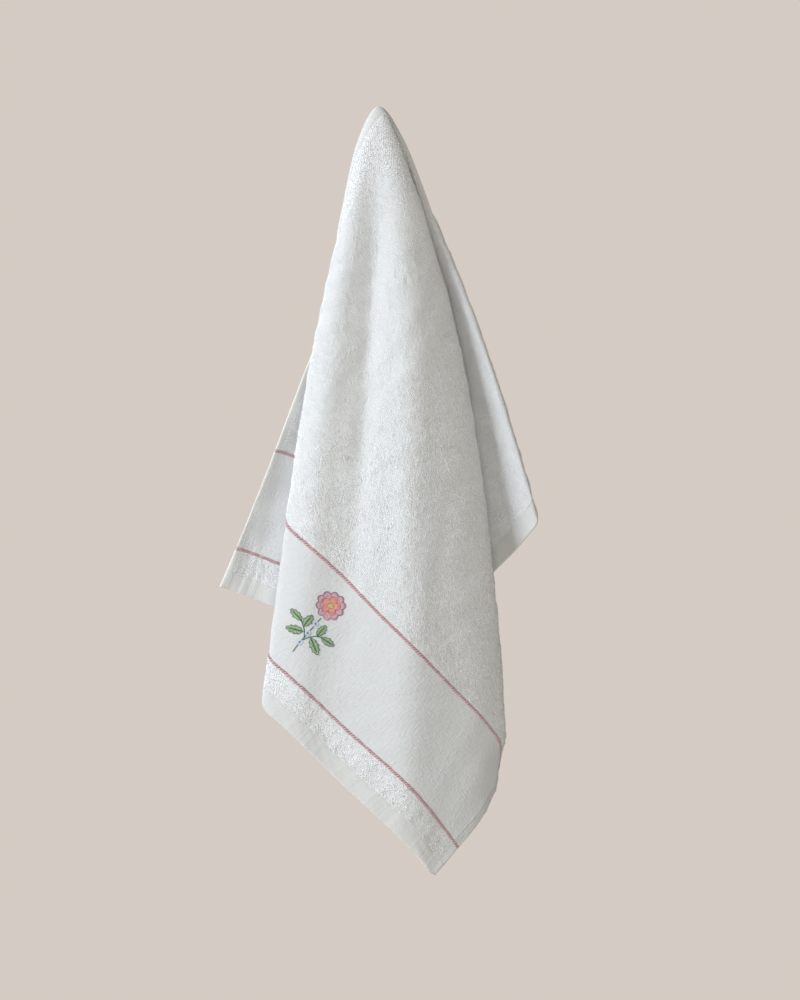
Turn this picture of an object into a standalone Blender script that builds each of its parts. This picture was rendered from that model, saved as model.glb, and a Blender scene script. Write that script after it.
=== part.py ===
"""Hand towel hanging from one point of its long side hem: one closed sheet with its true draped shape.

The flat towel is read in polar form round the hanging point: a radius along the cloth and a flat angle,
0 degrees along the side hem towards the striped end and 180 degrees towards the plain end. Folds run
outwards from the hanging point. Each fold has its flat angle, its lean from the vertical (right is
positive) and its depth (towards the wall is positive) on three circles of cloth.
"""

from typing import NamedTuple

import bmesh
import bpy
import numpy as np

# The flat towel, metres.
WIDTH = 0.500
LENGTH = 0.762
SEAT = 0.428  # from the striped end to the hanging point, along the side hem
CLOTH_THICK = 0.0022
SEAT_THICK = 0.0010  # pressed thinner where the cloth gathers

# Circles of cloth on which the folds are measured, metres from the hanging point.
NEAR, MIDDLE, FAR = 0.100, 0.300, 0.560  # inside the near circle the folds keep their places
SOFTEST = 7.0  # degrees; the gathered folds all melt into one another at this rounding
PLEAT_GROWTH = 1.6  # a pleat is full at this multiple of the radius where it starts

# The rounded top where the towel hangs, metres.
TOP_RADIUS = 0.012
TOP_FALL = 0.038
TOP_TABLE = (  # flat angle, angle round the top, degrees
    (0, 0),
    (10, 45),
    (27, 78),
    (43, 105),
    (56, 130),
    (150, 152),
    (180, 180),
)

# Soft waves in the cloth behind the front panel.
WAVE_HEIGHT = 0.0030
WAVES_PER_RADIAN = 32.0

# Mesh layout.
SEAT_RINGS = (0.006, 0.011, 0.017, 0.025, 0.035, 0.046, 0.058, 0.071, 0.085, 0.100)
OUTER_RINGS = 20
EDGE_SQUEEZE = 6.0  # degrees next to a side hem in which folds that have left the cloth are kept


class Fold(NamedTuple):
    """One fold line: flat angle, lean and depth at the near, middle and far circles."""

    name: str
    flat: tuple
    lean: tuple
    depth: tuple  # millimetres
    soft: float  # how widely the fold is rounded, millimetres
    tuck: float  # lean gained per 100 mm below the far circle, degrees


class Pleats(NamedTuple):
    """A run of hidden pleats between two folds."""

    name: str
    passes: int
    left: tuple
    right: tuple
    gathered: tuple  # lean of the first and last pass where the pleats start
    starts: tuple  # millimetres from the hanging point, first and last
    turn: float  # half the flat width of a turn, degrees
    right_first: bool


class Line(NamedTuple):
    """A fold line ready to be read at any radius."""

    fold: Fold
    gathered: tuple
    starts: float
    turn: float


FOLDS = (
    Fold("left end", (-22, -3, -2), (-30.0, -19.2, -21.8), (8, 25, 44), 6, 0),
    Fold("wing bend", (-15, 5.5, 7.3), (-18.6, -13.5, -13.4), (8, 25, 42), 12, 0),
    Pleats("left pleats", 4, (-17.6, -12.0, -9.6), (-7, -8.0, -4.8), (-18.6, -18.9), (98, 108), 0.8, True),
    Fold("left fold back", (2.0, 30.3, 33.0), (-18.9, -13.3, -10.6), (-1, 3, 4), 5, 0),
    Fold("left fold front", (5.0, 32.7, 35.0), (-18.9, -13.3, -10.6), (-4, -7, -8), 5, 0),
    Fold("left ridge", (17.0, 35.7, 37.8), (-13.5, -10.0, -7.6), (-14, -18, -18), 10, 0),
    Fold("groove", (28.5, 40.5, 41.4), (-3.0, -4.2, -4.1), (-11, -14, -18), 14, 0),
    Fold("right ridge", (44.5, 50.8, 47.3), (12.0, 5.5, 2.4), (-18, -31, -36), 22, 0),
    Fold("right slope", (51.5, 57.5, 52.4), (17.8, 11.7, 7.7), (-14, -22, -24), 18, -1.3),
    Fold("right fold front", (57.5, 63.0, 57.4), (23.4, 16.0, 11.1), (-9, -7, -7), 8, -3.5),
    Fold("right fold back", (61.5, 66.0, 60.4), (23.0, 15.7, 10.7), (-4, 2, 8), 8, -4.0),
    Pleats("right pleats", 6, (9.5, 3.0, -1.2), (19.6, 14.4, 9.6), (19.8, 19.8), (88, 98), 0.8, False),
    Fold("wing valley", (158.0, 146.5, 144.2), (22.3, 15.0, 12.0), (11, 26, 36), 14, 0),
    Fold("wing rise", (171.5, 150.8, 148.0), (22.3, 18.8, 15.8), (1, 8, 9), 14, 0),
    Fold("wing ridge front", (180.5, 155.0, 151.6), (27.8, 22.2, 19.2), (-1, -8, -14), 6, 0),
    Fold("wing ridge back", (186.0, 158.0, 154.4), (28.8, 22.5, 19.2), (7, -3, -8), 6, 0),
    Fold("wing back", (194.0, 167.0, 165.0), (26.2, 16.4, 11.0), (18, 34, 53), 14, 0),
    Fold("right end", (208.0, 184.0, 184.0), (23.0, -1.0, -26.0), (19, 40, 62), 6, 0),
)


def clear_scene():
    for thing in list(bpy.data.objects):
        bpy.data.objects.remove(thing, do_unlink=True)


def blend(value, start, end):
    """Smooth step from 0 at start to 1 at end."""
    share = np.clip((value - start) / (end - start), 0.0, 1.0)
    return share * share * (3.0 - 2.0 * share)


def mix(first, last, share):
    return tuple(a + (b - a) * share for a, b in zip(first, last))


def pleat_lines(pleats, before, after):
    """Two lines for each turn of a run of pleats, stepping evenly back through the depth."""
    lines, turns = [], pleats.passes - 1
    for k in range(turns):
        share = (k + 1) / pleats.passes
        goes_right = (k % 2 == 0) == pleats.right_first
        gathered = mix(before.lean, after.lean, share)
        gathered = (mix(pleats.gathered[:1], pleats.gathered[1:], share)[0],) + gathered[1:]
        starts = mix(pleats.starts[:1], pleats.starts[1:], k / (turns - 1))[0] / 1000
        for side in (-1, 1):
            flat = tuple(f + side * pleats.turn for f in mix(before.flat, after.flat, share))
            depth = mix(before.depth, after.depth, (k + 0.5 + side * 0.5) / turns)
            lean = pleats.right if goes_right else pleats.left
            fold = Fold(f"{pleats.name} {k + 1}", flat, lean, depth, 3.0, 0.0)
            lines.append(Line(fold, gathered, starts, pleats.turn))
    return lines


def fold_lines():
    lines = []
    for i, row in enumerate(FOLDS):
        if isinstance(row, Pleats):
            lines += pleat_lines(row, FOLDS[i - 1], FOLDS[i + 1])
        else:
            lines.append(Line(row, row.lean, 0.0, 0.0))
    return lines


LINES = fold_lines()


def on_circles(values, radius):
    """A value given on the three circles, read at any radius."""
    t = np.log(np.clip(radius, NEAR, FAR) / NEAR) / np.log(FAR / NEAR)
    m = np.log(MIDDLE / NEAR) / np.log(FAR / NEAR)
    near = (t - m) * (t - 1) / m
    middle = t * (t - 1) / (m * (m - 1))
    far = t * (t - m) / (1 - m)
    return values[0] * near + values[1] * middle + values[2] * far


def read_line(line, radius):
    """Flat angle, lean, depth and rounding (degrees, metres) of a fold line at a radius."""
    lean = on_circles(line.fold.lean, radius)
    if line.starts > 0:
        gathered = on_circles(line.gathered, radius)
        lean = gathered + (lean - gathered) * blend(radius, line.starts, PLEAT_GROWTH * line.starts)
    lean = lean + line.fold.tuck * np.maximum(0.0, radius - FAR + 0.01) / 0.1
    depth = on_circles(line.fold.depth, radius) / 1000
    soft = np.degrees(line.fold.soft / 1000 / np.maximum(radius, NEAR))
    soft = np.minimum(np.maximum(line.turn * 1.1, soft), SOFTEST)
    soft = np.maximum(soft, SOFTEST * (1 - blend(radius, 0.055, 0.110)))
    return on_circles(line.fold.flat, radius), lean, depth, soft


def rounded_ramp(distance, soft):
    """Zero before a corner and the distance past it after, with the corner rounded."""
    bend = (distance + soft) ** 2 / (4 * soft)
    return np.where(distance > soft, distance, np.where(distance < -soft, 0.0, bend))


def along_folds(places, values, softs, angle):
    """A line through the values at the places, with its corners rounded."""
    slope = (values[1] - values[0]) / (places[1] - places[0])
    height = values[0] + slope * (angle - places[0])
    for i in range(1, len(places) - 1):
        following = (values[i + 1] - values[i]) / (places[i + 1] - places[i])
        height = height + (following - slope) * rounded_ramp(angle - places[i], softs[i])
        slope = following
    return height


def round_top(angle):
    """Angle round the rounded top, in radians, for a flat angle in degrees."""
    places, values = zip(*TOP_TABLE)
    return np.radians(along_folds(places, values, [6.0] * len(places), angle))


def drape(radius, angle):
    """Middle of the cloth in metres for radii along the cloth and flat angles in degrees."""
    places, leans, depths, softs = zip(*(read_line(line, radius) for line in LINES))
    lean = along_folds(places, leans, softs, angle)
    depth = along_folds(places, depths, softs, angle)
    around = round_top(angle)
    top = TOP_RADIUS * (1 - np.exp(-radius / TOP_RADIUS))
    out = (1 - np.exp(-radius / TOP_FALL)) * radius * np.sin(np.radians(lean))
    x = out - top * np.cos(around) * (1 - blend(radius, 0.030, 0.130))
    hung = blend(radius, 0.006, 0.110)
    y = hung * depth - top * np.sin(around) * (1 - hung)
    wave = np.sin(np.radians(lean) * WAVES_PER_RADIAN + radius * 9.0)
    y = y + WAVE_HEIGHT * wave * blend(radius, 0.120, 0.340) * blend(y, -0.004, 0.016)
    give = 0.012 - 0.018 * blend(angle, 6.0, 32.0) + 0.016 * blend(angle, 110.0, 150.0)
    length = radius * (1 + give * blend(radius, 0.020, 0.200))
    z = SEAT_THICK / 2 - np.sqrt(np.maximum(length**2 - x**2 - y**2, 1e-12))
    return np.stack([x, y, z], axis=-1)


def reach(angle):
    """Radius at which the cloth ends for flat angles in degrees."""
    across, along = np.sin(np.radians(angle)), np.cos(np.radians(angle))
    side = WIDTH / np.maximum(across, 1e-9)
    striped = SEAT / np.maximum(along, 1e-9)
    plain = (LENGTH - SEAT) / np.maximum(-along, 1e-9)
    return np.minimum(side, np.minimum(striped, plain))


def squeeze(angle, radius):
    """Keeps angles of folds that have left the cloth just inside its side hems, in order."""
    wide = EDGE_SQUEEZE * (1 + 2 * (1 - blend(radius, 0.060, 0.110)))
    low = wide**2 / (2 * wide - np.minimum(angle, wide))
    high = 180.0 - wide**2 / (2 * wide - np.minimum(180.0 - angle, wide))
    return np.where(angle < wide, low, np.where(angle > 180.0 - wide, high, angle))


def column_plan():
    """Mesh columns as (line before, line after, share): single folds, turns of pleats, and between."""
    corner = {
        "right ridge": (np.degrees(np.arctan2(WIDTH, SEAT)),),
        "right pleats 4": (np.degrees(np.arctan2(WIDTH, SEAT - LENGTH)),),
    }
    between = {"left pleats": (0.5,), "right pleats": (0.27, 0.5, 0.73), "groove": (0.3, 0.6)}
    between |= {"left ridge": (0.5,), "right slope": (0.55,), "wing valley": (0.5,), "wing rise": (0.5,)}
    between |= {"right ridge": (0.25, None, 0.75), "right fold back": (0.3, 0.62), "wing ridge back": (0.5,)}
    between |= {"wing back": (0.35, 0.7), "wing bend": (0.5,), "left end": (0.4, 0.7)}
    plan = []
    for i, line in enumerate(LINES):
        name, last = line.fold.name, i + 1 == len(LINES)
        if 0 < i and not last:
            plan.append((i, i, 0.0))
        if last:
            break
        if name == LINES[i + 1].fold.name:  # inside a turn
            plan.append((i, i + 1, 0.5))
            continue
        shares = between.get(name, between.get(name[:-2], (0.5,)))
        if name in corner:
            start, end = line.fold.flat[2], LINES[i + 1].fold.flat[2]
            exact = (corner[name][0] - start) / (end - start)
            shares = tuple(sorted({exact if s in (None, 0.5) else s for s in shares}))
        plan += [(i, i + 1, share) for share in shares]
    return plan


def column_angle(step, radius):
    before, after, share = step
    start = on_circles(LINES[before].fold.flat, radius)
    end = on_circles(LINES[after].fold.flat, radius)
    return squeeze(start + (end - start) * share, radius)


def column_points(step):
    """Radii and flat angles of one mesh column, from the first ring to the hem."""
    edge = {"left": 0.0, "right": 180.0}.get(step)
    end = np.float64(0.5)
    for _ in range(60):
        end = 0.5 * end + 0.5 * reach(edge if edge is not None else column_angle(step, end))
    outer = np.linspace(0.0, 1.0, OUTER_RINGS + 1)[1:] ** 1.3
    radii = np.concatenate([SEAT_RINGS, SEAT_RINGS[-1] + (end - SEAT_RINGS[-1]) * outer])
    angles = np.full_like(radii, edge) if edge is not None else column_angle(step, radii)
    return radii, angles


def cloth_thickness(radius):
    return SEAT_THICK + (CLOTH_THICK - SEAT_THICK) * blend(radius, 0.080, 0.180)


def cloth_grid():
    """Middle points and unit normals of the cloth, columns by rings, and the ring radii."""
    plan = ["left"] + column_plan() + ["right"]
    columns = [column_points(step) for step in plan]
    radii = np.array([c[0] for c in columns])
    angles = np.array([c[1] for c in columns])
    ordered = np.all(np.diff(angles, axis=0) > 0)
    assert ordered, "mesh columns cross"
    points = drape(radii, angles)
    step_r, step_a = 0.0004, 0.02 + SOFTEST * (1 - blend(radii, 0.020, 0.095))
    outward = drape(radii + step_r, angles) - drape(radii - step_r, angles)
    aside = drape(radii, angles + step_a) - drape(radii, angles - step_a)
    normals = np.cross(aside, outward)
    normals /= np.linalg.norm(normals, axis=-1, keepdims=True)
    return points, normals, radii


def cloth_faces(columns, rings):
    """Faces of both sides and the edge round them; the top point closes both sides."""
    count = columns * rings
    front, back = 2 * count, 2 * count + 1
    faces = []
    for c in range(columns - 1):
        a, b = c * rings, (c + 1) * rings
        faces += [(front, a, b), (back, b + count, a + count)]
        for k in range(rings - 1):
            faces.append((a + k, a + k + 1, b + k + 1, b + k))
            faces.append((b + k + count, b + k + 1 + count, a + k + 1 + count, a + k + count))
    rim = [c * rings + rings - 1 for c in range(columns)]
    rim = list(range(rings - 1)) + rim + list(range(count - 2, count - rings - 1, -1))
    faces += [(i, j, j + count, i + count) for i, j in zip(rim, rim[1:])]
    faces += [(rim[-1], front, back, rim[-1] + count), (front, rim[0], rim[0] + count, back)]
    return faces


def cloth_material():
    material = bpy.data.materials.new("white terry cotton")
    material.use_nodes = True
    shader = material.node_tree.nodes["Principled BSDF"]
    shader.inputs["Base Color"].default_value = (0.80, 0.80, 0.78, 1.0)
    shader.inputs["Roughness"].default_value = 0.95
    return material


def build_towel():
    points, normals, radii = cloth_grid()
    half = (cloth_thickness(radii) / 2)[..., None]
    columns, rings = radii.shape
    sides = [points + side * normals * half for side in (1, -1)]
    top = drape(np.array(0.0), np.array(90.0))
    ends = [top - (0, 0, side * SEAT_THICK / 2) for side in (1, -1)]
    vertices = np.concatenate([side.reshape(-1, 3) for side in sides] + [np.array(ends)])
    mesh = bpy.data.meshes.new("towel")
    mesh.from_pydata(vertices.tolist(), [], cloth_faces(columns, rings))
    shape = bmesh.new()
    shape.from_mesh(mesh)
    bmesh.ops.recalc_face_normals(shape, faces=shape.faces)
    shape.to_mesh(mesh)
    shape.free()
    mesh.materials.append(cloth_material())
    towel = bpy.data.objects.new("towel", mesh)
    bpy.context.scene.collection.objects.link(towel)
    return towel


clear_scene()
build_towel()
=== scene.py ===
"""White terry hand towel, hung by one point of its long side hem.

Everything sewn, woven or embroidered is laid out on the flat cloth in metres: u runs across from
the side hem it hangs by, and v runs along from the striped end. The drape carries each flat place
to where it hangs, so the pile, the stripes and the sprig follow every fold.
"""
import logging
import math
from dataclasses import dataclass, field
from enum import Enum

import bpy
import numpy as np
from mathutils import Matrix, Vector
from mathutils.bvhtree import BVHTree


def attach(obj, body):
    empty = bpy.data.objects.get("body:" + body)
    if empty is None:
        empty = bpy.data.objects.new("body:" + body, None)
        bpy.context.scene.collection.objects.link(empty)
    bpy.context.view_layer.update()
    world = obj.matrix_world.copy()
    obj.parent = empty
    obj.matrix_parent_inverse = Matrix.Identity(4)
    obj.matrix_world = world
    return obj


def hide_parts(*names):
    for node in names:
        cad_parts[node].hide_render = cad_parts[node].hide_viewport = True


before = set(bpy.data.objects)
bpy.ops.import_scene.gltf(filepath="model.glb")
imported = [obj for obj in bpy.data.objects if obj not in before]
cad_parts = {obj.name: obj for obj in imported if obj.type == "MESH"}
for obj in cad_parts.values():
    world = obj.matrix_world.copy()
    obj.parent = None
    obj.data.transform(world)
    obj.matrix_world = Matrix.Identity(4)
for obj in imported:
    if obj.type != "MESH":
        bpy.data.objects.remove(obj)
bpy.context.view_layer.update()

LOG = logging.getLogger("towel")
MM = 0.001
SEED = 7

Array = np.ndarray


class Face(Enum):
    """The two faces of the cloth; the outer face is the one that the front panel shows."""

    OUTER = -1.0
    INNER = 1.0


# ---------------------------------------------------------------- the drape


@dataclass(frozen=True)
class Fold:
    """One fold line, with its values on circles of 100, 300 and 560 mm round the hanging point."""

    name: str
    flat: tuple[float, float, float]  # angle on the flat cloth, degrees
    lean: tuple[float, float, float]  # angle from straight down, degrees
    depth: tuple[float, float, float]  # distance towards the wall, mm
    soft: float  # length of the rounding, mm
    tuck: float = 0.0  # extra lean at the far hem, degrees
    gathered: tuple[float, float, float] = (0.0, 0.0, 0.0)  # lean before a pleat starts
    starts: float = 0.0  # radius where a pleat starts, m
    turn: float = 0.0  # half width of a pleat's turn, degrees


@dataclass(frozen=True)
class Pleats:
    """A run of pleats between two folds, folded to and fro."""

    name: str
    passes: int
    left: tuple[float, float, float]
    right: tuple[float, float, float]
    gathered: tuple[float, float]
    starts: tuple[float, float]
    turn: float
    right_first: bool

    def lines(self, before: Fold, after: Fold) -> list[Fold]:
        """Fold lines of the run.

        Args:
            before: The fold that the run starts at.
            after: The fold that the run ends at.

        Returns:
            Two lines for each turn, in order.
        """
        lines, turns = [], self.passes - 1
        for k in range(turns):
            share = (k + 1) / self.passes
            goes_right = (k % 2 == 0) == self.right_first
            lean = between(before.lean, after.lean, share)
            near = between(self.gathered[:1], self.gathered[1:], share)
            starts = between(self.starts[:1], self.starts[1:], k / (turns - 1))[0] * MM
            for side in (-1, 1):
                flat = tuple(f + side * self.turn for f in between(before.flat, after.flat, share))
                depth = between(before.depth, after.depth, (k + 0.5 + side * 0.5) / turns)
                lines.append(Fold(f"{self.name} {k + 1}", flat, self.right if goes_right else self.left,
                                  depth, 3.0, 0.0, near + lean[1:], starts, self.turn))
        return lines


FOLDS = (
    Fold("left end", (-22, -3, -2), (-30.0, -19.2, -21.8), (8, 25, 44), 6),
    Fold("wing bend", (-15, 5.5, 7.3), (-18.6, -13.5, -13.4), (8, 25, 42), 12),
    Pleats("left pleats", 4, (-17.6, -12.0, -9.6), (-7, -8.0, -4.8), (-18.6, -18.9), (98, 108), 0.8, True),
    Fold("left fold back", (2.0, 30.3, 33.0), (-18.9, -13.3, -10.6), (-1, 3, 4), 5),
    Fold("left fold front", (5.0, 32.7, 35.0), (-18.9, -13.3, -10.6), (-4, -7, -8), 5),
    Fold("left ridge", (17.0, 35.7, 37.8), (-13.5, -10.0, -7.6), (-14, -18, -18), 10),
    Fold("groove", (28.5, 40.5, 41.4), (-3.0, -4.2, -4.1), (-11, -14, -18), 14),
    Fold("right ridge", (44.5, 50.8, 47.3), (12.0, 5.5, 2.4), (-18, -31, -36), 13),
    Fold("right slope", (51.5, 59.4, 54.3), (17.8, 13.2, 9.0), (-14, -17, -19), 14, -1.3),
    Fold("right fold front", (57.5, 63.0, 57.4), (23.4, 16.0, 11.1), (-9, -7, -7), 8, -3.5),
    Fold("right fold back", (61.5, 66.0, 60.4), (23.0, 15.7, 10.7), (-4, 2, 8), 8, -4.0),
    Pleats("right pleats", 6, (9.5, 3.0, -1.2), (19.6, 14.4, 9.6), (19.8, 19.8), (88, 98), 0.8, False),
    Fold("wing valley", (158.0, 146.5, 144.2), (22.3, 15.0, 12.0), (11, 26, 36), 14),
    Fold("wing rise", (171.5, 150.8, 148.0), (22.3, 18.8, 15.8), (1, 8, 9), 14),
    Fold("wing ridge front", (180.5, 155.0, 151.6), (27.8, 22.2, 19.2), (-1, -8, -14), 6),
    Fold("wing ridge back", (186.0, 158.0, 154.4), (28.8, 22.5, 19.2), (7, -3, -8), 6),
    Fold("wing back", (194.0, 167.0, 165.0), (26.2, 16.4, 11.0), (18, 34, 53), 14),
    Fold("right end", (208.0, 184.0, 184.0), (23.0, -1.0, -26.0), (19, 40, 62), 6),
)


def between(first: tuple[float, ...], last: tuple[float, ...], share: float) -> tuple[float, ...]:
    """Values a share of the way from the first to the last."""
    return tuple(a + (b - a) * share for a, b in zip(first, last))


def blend(value: Array, start: float, end: float) -> Array:
    """Smooth step from 0 at start to 1 at end."""
    t = np.clip((value - start) / (end - start), 0.0, 1.0)
    return t * t * (3.0 - 2.0 * t)


def ways(turn: Array) -> Array:
    """Unit directions at turns in radians, two columns."""
    return np.stack([np.cos(turn), np.sin(turn)], axis=1)


def closed(path: Array) -> Array:
    """A path of points with its first point once more at its end."""
    return np.vstack([path, path[:1]])


@dataclass
class Drape:
    """The hung shape of the cloth's middle, on circles round the hanging point.

    Each pair of radii says where something begins and where it is complete, in metres.
    """

    width: float = 0.500
    length: float = 0.762
    seat: float = 0.428
    near: float = 0.100
    middle: float = 0.300
    far: float = 0.560
    softest: float = 7.0
    folds_sharpen: tuple[float, float] = (0.055, 0.110)
    pleat_growth: float = 1.6
    tuck_starts: float = 0.550
    tuck_run: float = 0.100
    top_radius: float = 0.012
    top_fall: float = 0.038
    top_thick: float = 0.0010
    top_soft: float = 6.0
    top_ends: tuple[float, float] = (0.030, 0.130)
    depth_grows: tuple[float, float] = (0.006, 0.110)
    wave_height: float = 0.0030
    waves_per_radian: float = 32.0
    waves_per_metre: float = 9.0
    waves_grow: tuple[float, float] = (0.120, 0.340)
    wave_depths: tuple[float, float] = (-0.004, 0.016)  # depths between which they grow, m
    give: tuple[float, float, float] = (0.012, -0.006, 0.010)  # share at the left hem, in front, behind
    give_turns: tuple[tuple[float, float], ...] = ((6.0, 32.0), (110.0, 150.0))  # flat angles, degrees
    give_grows: tuple[float, float] = (0.020, 0.200)
    probe: float = 0.0004  # step out along the cloth that its directions are read with, m
    probe_turn: float = 0.02  # step round the hanging point for the same, degrees
    probe_narrows: tuple[float, float] = (0.020, 0.095)
    edge_squeeze: float = 6.0
    top_squeeze: float = 3.0
    squeeze_eases: tuple[float, float] = (0.060, 0.110)
    top_table: tuple[tuple[float, float], ...] = (
        (0, 0), (10, 45), (27, 78), (43, 105), (56, 130), (150, 152), (180, 180))
    lines: list[Fold] = field(init=False)

    def __post_init__(self) -> None:
        """Spreads the pleats into their own fold lines."""
        self.lines = []
        for i, row in enumerate(FOLDS):
            self.lines += row.lines(FOLDS[i - 1], FOLDS[i + 1]) if isinstance(row, Pleats) else [row]

    def on_circles(self, values: tuple[float, float, float], radius: Array) -> Array:
        """Follows a curve through three values, one on each circle.

        Args:
            values: Values on the near, the middle and the far circle.
            radius: Distances from the hanging point along the cloth, m.

        Returns:
            Values of the curve at the radii.
        """
        reach = math.log(self.far / self.near)
        t = np.log(np.clip(radius, self.near, self.far) / self.near) / reach
        m = math.log(self.middle / self.near) / reach
        near, far = (t - m) * (t - 1) / m, t * (t - m) / (1 - m)
        return values[0] * near + values[1] * t * (t - 1) / (m * (m - 1)) + values[2] * far

    def read_line(self, line: Fold, radius: Array) -> tuple[Array, Array, Array, Array]:
        """Reads a fold line at some radii.

        Args:
            line: The fold line.
            radius: Distances from the hanging point along the cloth, m.

        Returns:
            Its flat angle and lean in degrees, depth in metres and half width in degrees.
        """
        lean = self.on_circles(line.lean, radius)
        if line.starts > 0:
            gathered = self.on_circles(line.gathered, radius)
            grown = blend(radius, line.starts, self.pleat_growth * line.starts)
            lean = gathered + (lean - gathered) * grown
        lean = lean + line.tuck * np.maximum(0.0, radius - self.tuck_starts) / self.tuck_run
        soft = np.degrees(line.soft * MM / np.maximum(radius, self.near))
        soft = np.minimum(np.maximum(line.turn * 1.1, soft), self.softest)
        soft = np.maximum(soft, self.softest * (1 - blend(radius, *self.folds_sharpen)))
        return self.on_circles(line.flat, radius), lean, self.on_circles(line.depth, radius) * MM, soft

    @staticmethod
    def along_folds(places: list, values: list, softs: list, angle: Array) -> Array:
        """Follows a line through the fold lines' values, with its corners rounded.

        Args:
            places: Flat angles of the fold lines, degrees.
            values: The value on each fold line.
            softs: Half width of each rounded corner, degrees.
            angle: Flat angles to read, degrees.

        Returns:
            Values at the angles.
        """
        slope = (values[1] - values[0]) / (places[1] - places[0])
        height = values[0] + slope * (angle - places[0])
        for i in range(1, len(places) - 1):
            following = (values[i + 1] - values[i]) / (places[i + 1] - places[i])
            past, soft = angle - places[i], softs[i]
            bend = np.where(past < -soft, 0.0, (past + soft) ** 2 / (4 * soft))
            height = height + (following - slope) * np.where(past > soft, past, bend)
            slope = following
        return height

    def points(self, radius: Array, angle: Array) -> Array:
        """Hung places of the cloth's middle.

        Args:
            radius: Distances from the hanging point along the cloth, m.
            angle: Flat angles from straight down the striped half, degrees.

        Returns:
            Places in metres, with the axis last.
        """
        read = [self.read_line(line, radius) for line in self.lines]
        places, leans, depths, softs = (list(values) for values in zip(*read))
        lean = self.along_folds(places, leans, softs, angle)
        depth = self.along_folds(places, depths, softs, angle)
        tops, turns = (list(values) for values in zip(*self.top_table))
        around = np.radians(self.along_folds(tops, turns, [self.top_soft] * len(tops), angle))
        top = self.top_radius * (1 - np.exp(-radius / self.top_radius))
        out = (1 - np.exp(-radius / self.top_fall)) * radius * np.sin(np.radians(lean))
        x = out - top * np.cos(around) * (1 - blend(radius, *self.top_ends))
        hung = blend(radius, *self.depth_grows)
        y = hung * depth - top * np.sin(around) * (1 - hung)
        wave = np.sin(np.radians(lean) * self.waves_per_radian + radius * self.waves_per_metre)
        y = y + self.wave_height * wave * blend(radius, *self.waves_grow) * blend(y, *self.wave_depths)
        fallen = radius * (1 + self.give_at(angle) * blend(radius, *self.give_grows))
        z = self.top_thick / 2 - np.sqrt(np.maximum(fallen**2 - x**2 - y**2, 1e-12))
        return np.stack([x, y, z], axis=-1)

    def give_at(self, angle: Array) -> Array:
        """How much longer the cloth hangs than it lies, as a share.

        Args:
            angle: Flat angles, degrees.

        Returns:
            The share at each angle.
        """
        left, front, behind = self.give
        to_front, to_back = (blend(angle, *turns) for turns in self.give_turns)
        return left + (front - left) * to_front + (behind - front) * to_back

    def polar(self, u: Array, v: Array) -> tuple[Array, Array]:
        """Radius and flat angle of flat places."""
        return np.hypot(u, self.seat - v), np.degrees(np.arctan2(u, self.seat - v))

    def frames(self, u: Array, v: Array) -> tuple[Array, Array, Array, Array]:
        """Hung places with the directions of the cloth there.

        Args:
            u: Places across the flat cloth, m.
            v: Places along the flat cloth, m.

        Returns:
            Places, the change a metre of u makes, the same for v, and unit normals of the inner face.
        """
        radius, angle = self.polar(u, v)
        radius = np.maximum(radius, 1e-4)
        step = self.probe
        turn = self.probe_turn + self.softest * (1 - blend(radius, *self.probe_narrows))
        outward = (self.points(radius + step, angle) - self.points(radius - step, angle)) / (2 * step)
        aside = self.points(radius, angle + turn) - self.points(radius, angle - turn)
        aside = aside / (2 * np.radians(turn) * radius)[..., None]
        normal = np.cross(aside, outward)
        normal /= np.maximum(np.linalg.norm(normal, axis=-1, keepdims=True), 1e-12)
        sine, cosine = np.sin(np.radians(angle))[..., None], np.cos(np.radians(angle))[..., None]
        return (self.points(radius, angle), sine * outward + cosine * aside,
                sine * aside - cosine * outward, normal)

    def outline(self, angle: Array, inset: tuple[float, float, float] = (0.0, 0.0, 0.0)) -> Array:
        """Radius of the cloth's outline at flat angles.

        Args:
            angle: Flat angles, degrees.
            inset: Distances that the striped end, the side and the plain end are moved in, m.

        Returns:
            Radii in metres.
        """
        across, along = np.sin(np.radians(angle)), np.cos(np.radians(angle))
        striped = (self.seat - inset[0]) / np.maximum(along, 1e-9)
        side = (self.width - inset[1]) / np.maximum(across, 1e-9)
        plain = (self.length - self.seat - inset[2]) / np.maximum(-along, 1e-9)
        return np.minimum(side, np.minimum(striped, plain))

    def squeeze(self, angle: Array, radius: Array) -> Array:
        """Keeps the angles of folds that have left the cloth just inside its side hem.

        Args:
            angle: Flat angles, degrees.
            radius: Distances from the hanging point along the cloth, m.

        Returns:
            Flat angles between 0 and 180 degrees.
        """
        eased = blend(radius, *self.squeeze_eases)
        wide = self.edge_squeeze * (self.top_squeeze + (1 - self.top_squeeze) * eased)
        low = wide**2 / (2 * wide - np.minimum(angle, wide))
        high = 180.0 - wide**2 / (2 * wide - np.minimum(180.0 - angle, wide))
        return np.where(angle < wide, low, np.where(angle > 180.0 - wide, high, angle))


# ---------------------------------------------------------------- the flat cloth


@dataclass(frozen=True)
class Crease:
    """One soft trough that runs out from the hanging point, m."""

    flat: tuple[float, float, float]  # angle on the flat cloth, degrees
    depth: float  # towards the wall on the front panel
    width: float
    grows: tuple[float, float]  # radii where it begins
    fades: tuple[float, float]  # radii where it ends

    def rise(self, drape: Drape, radius: Array, angle: Array) -> Array:
        """Height of the trough.

        Args:
            drape: The drape it belongs to.
            radius: Distances from the hanging point along the cloth, m.
            angle: Flat angles, degrees.

        Returns:
            Heights in metres.
        """
        away = radius * np.radians(angle - drape.on_circles(self.flat, radius)) / self.width
        shown = blend(radius, *self.grows) * (1 - blend(radius, *self.fades))
        return self.depth * np.exp(-(away**2)) * shown


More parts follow.
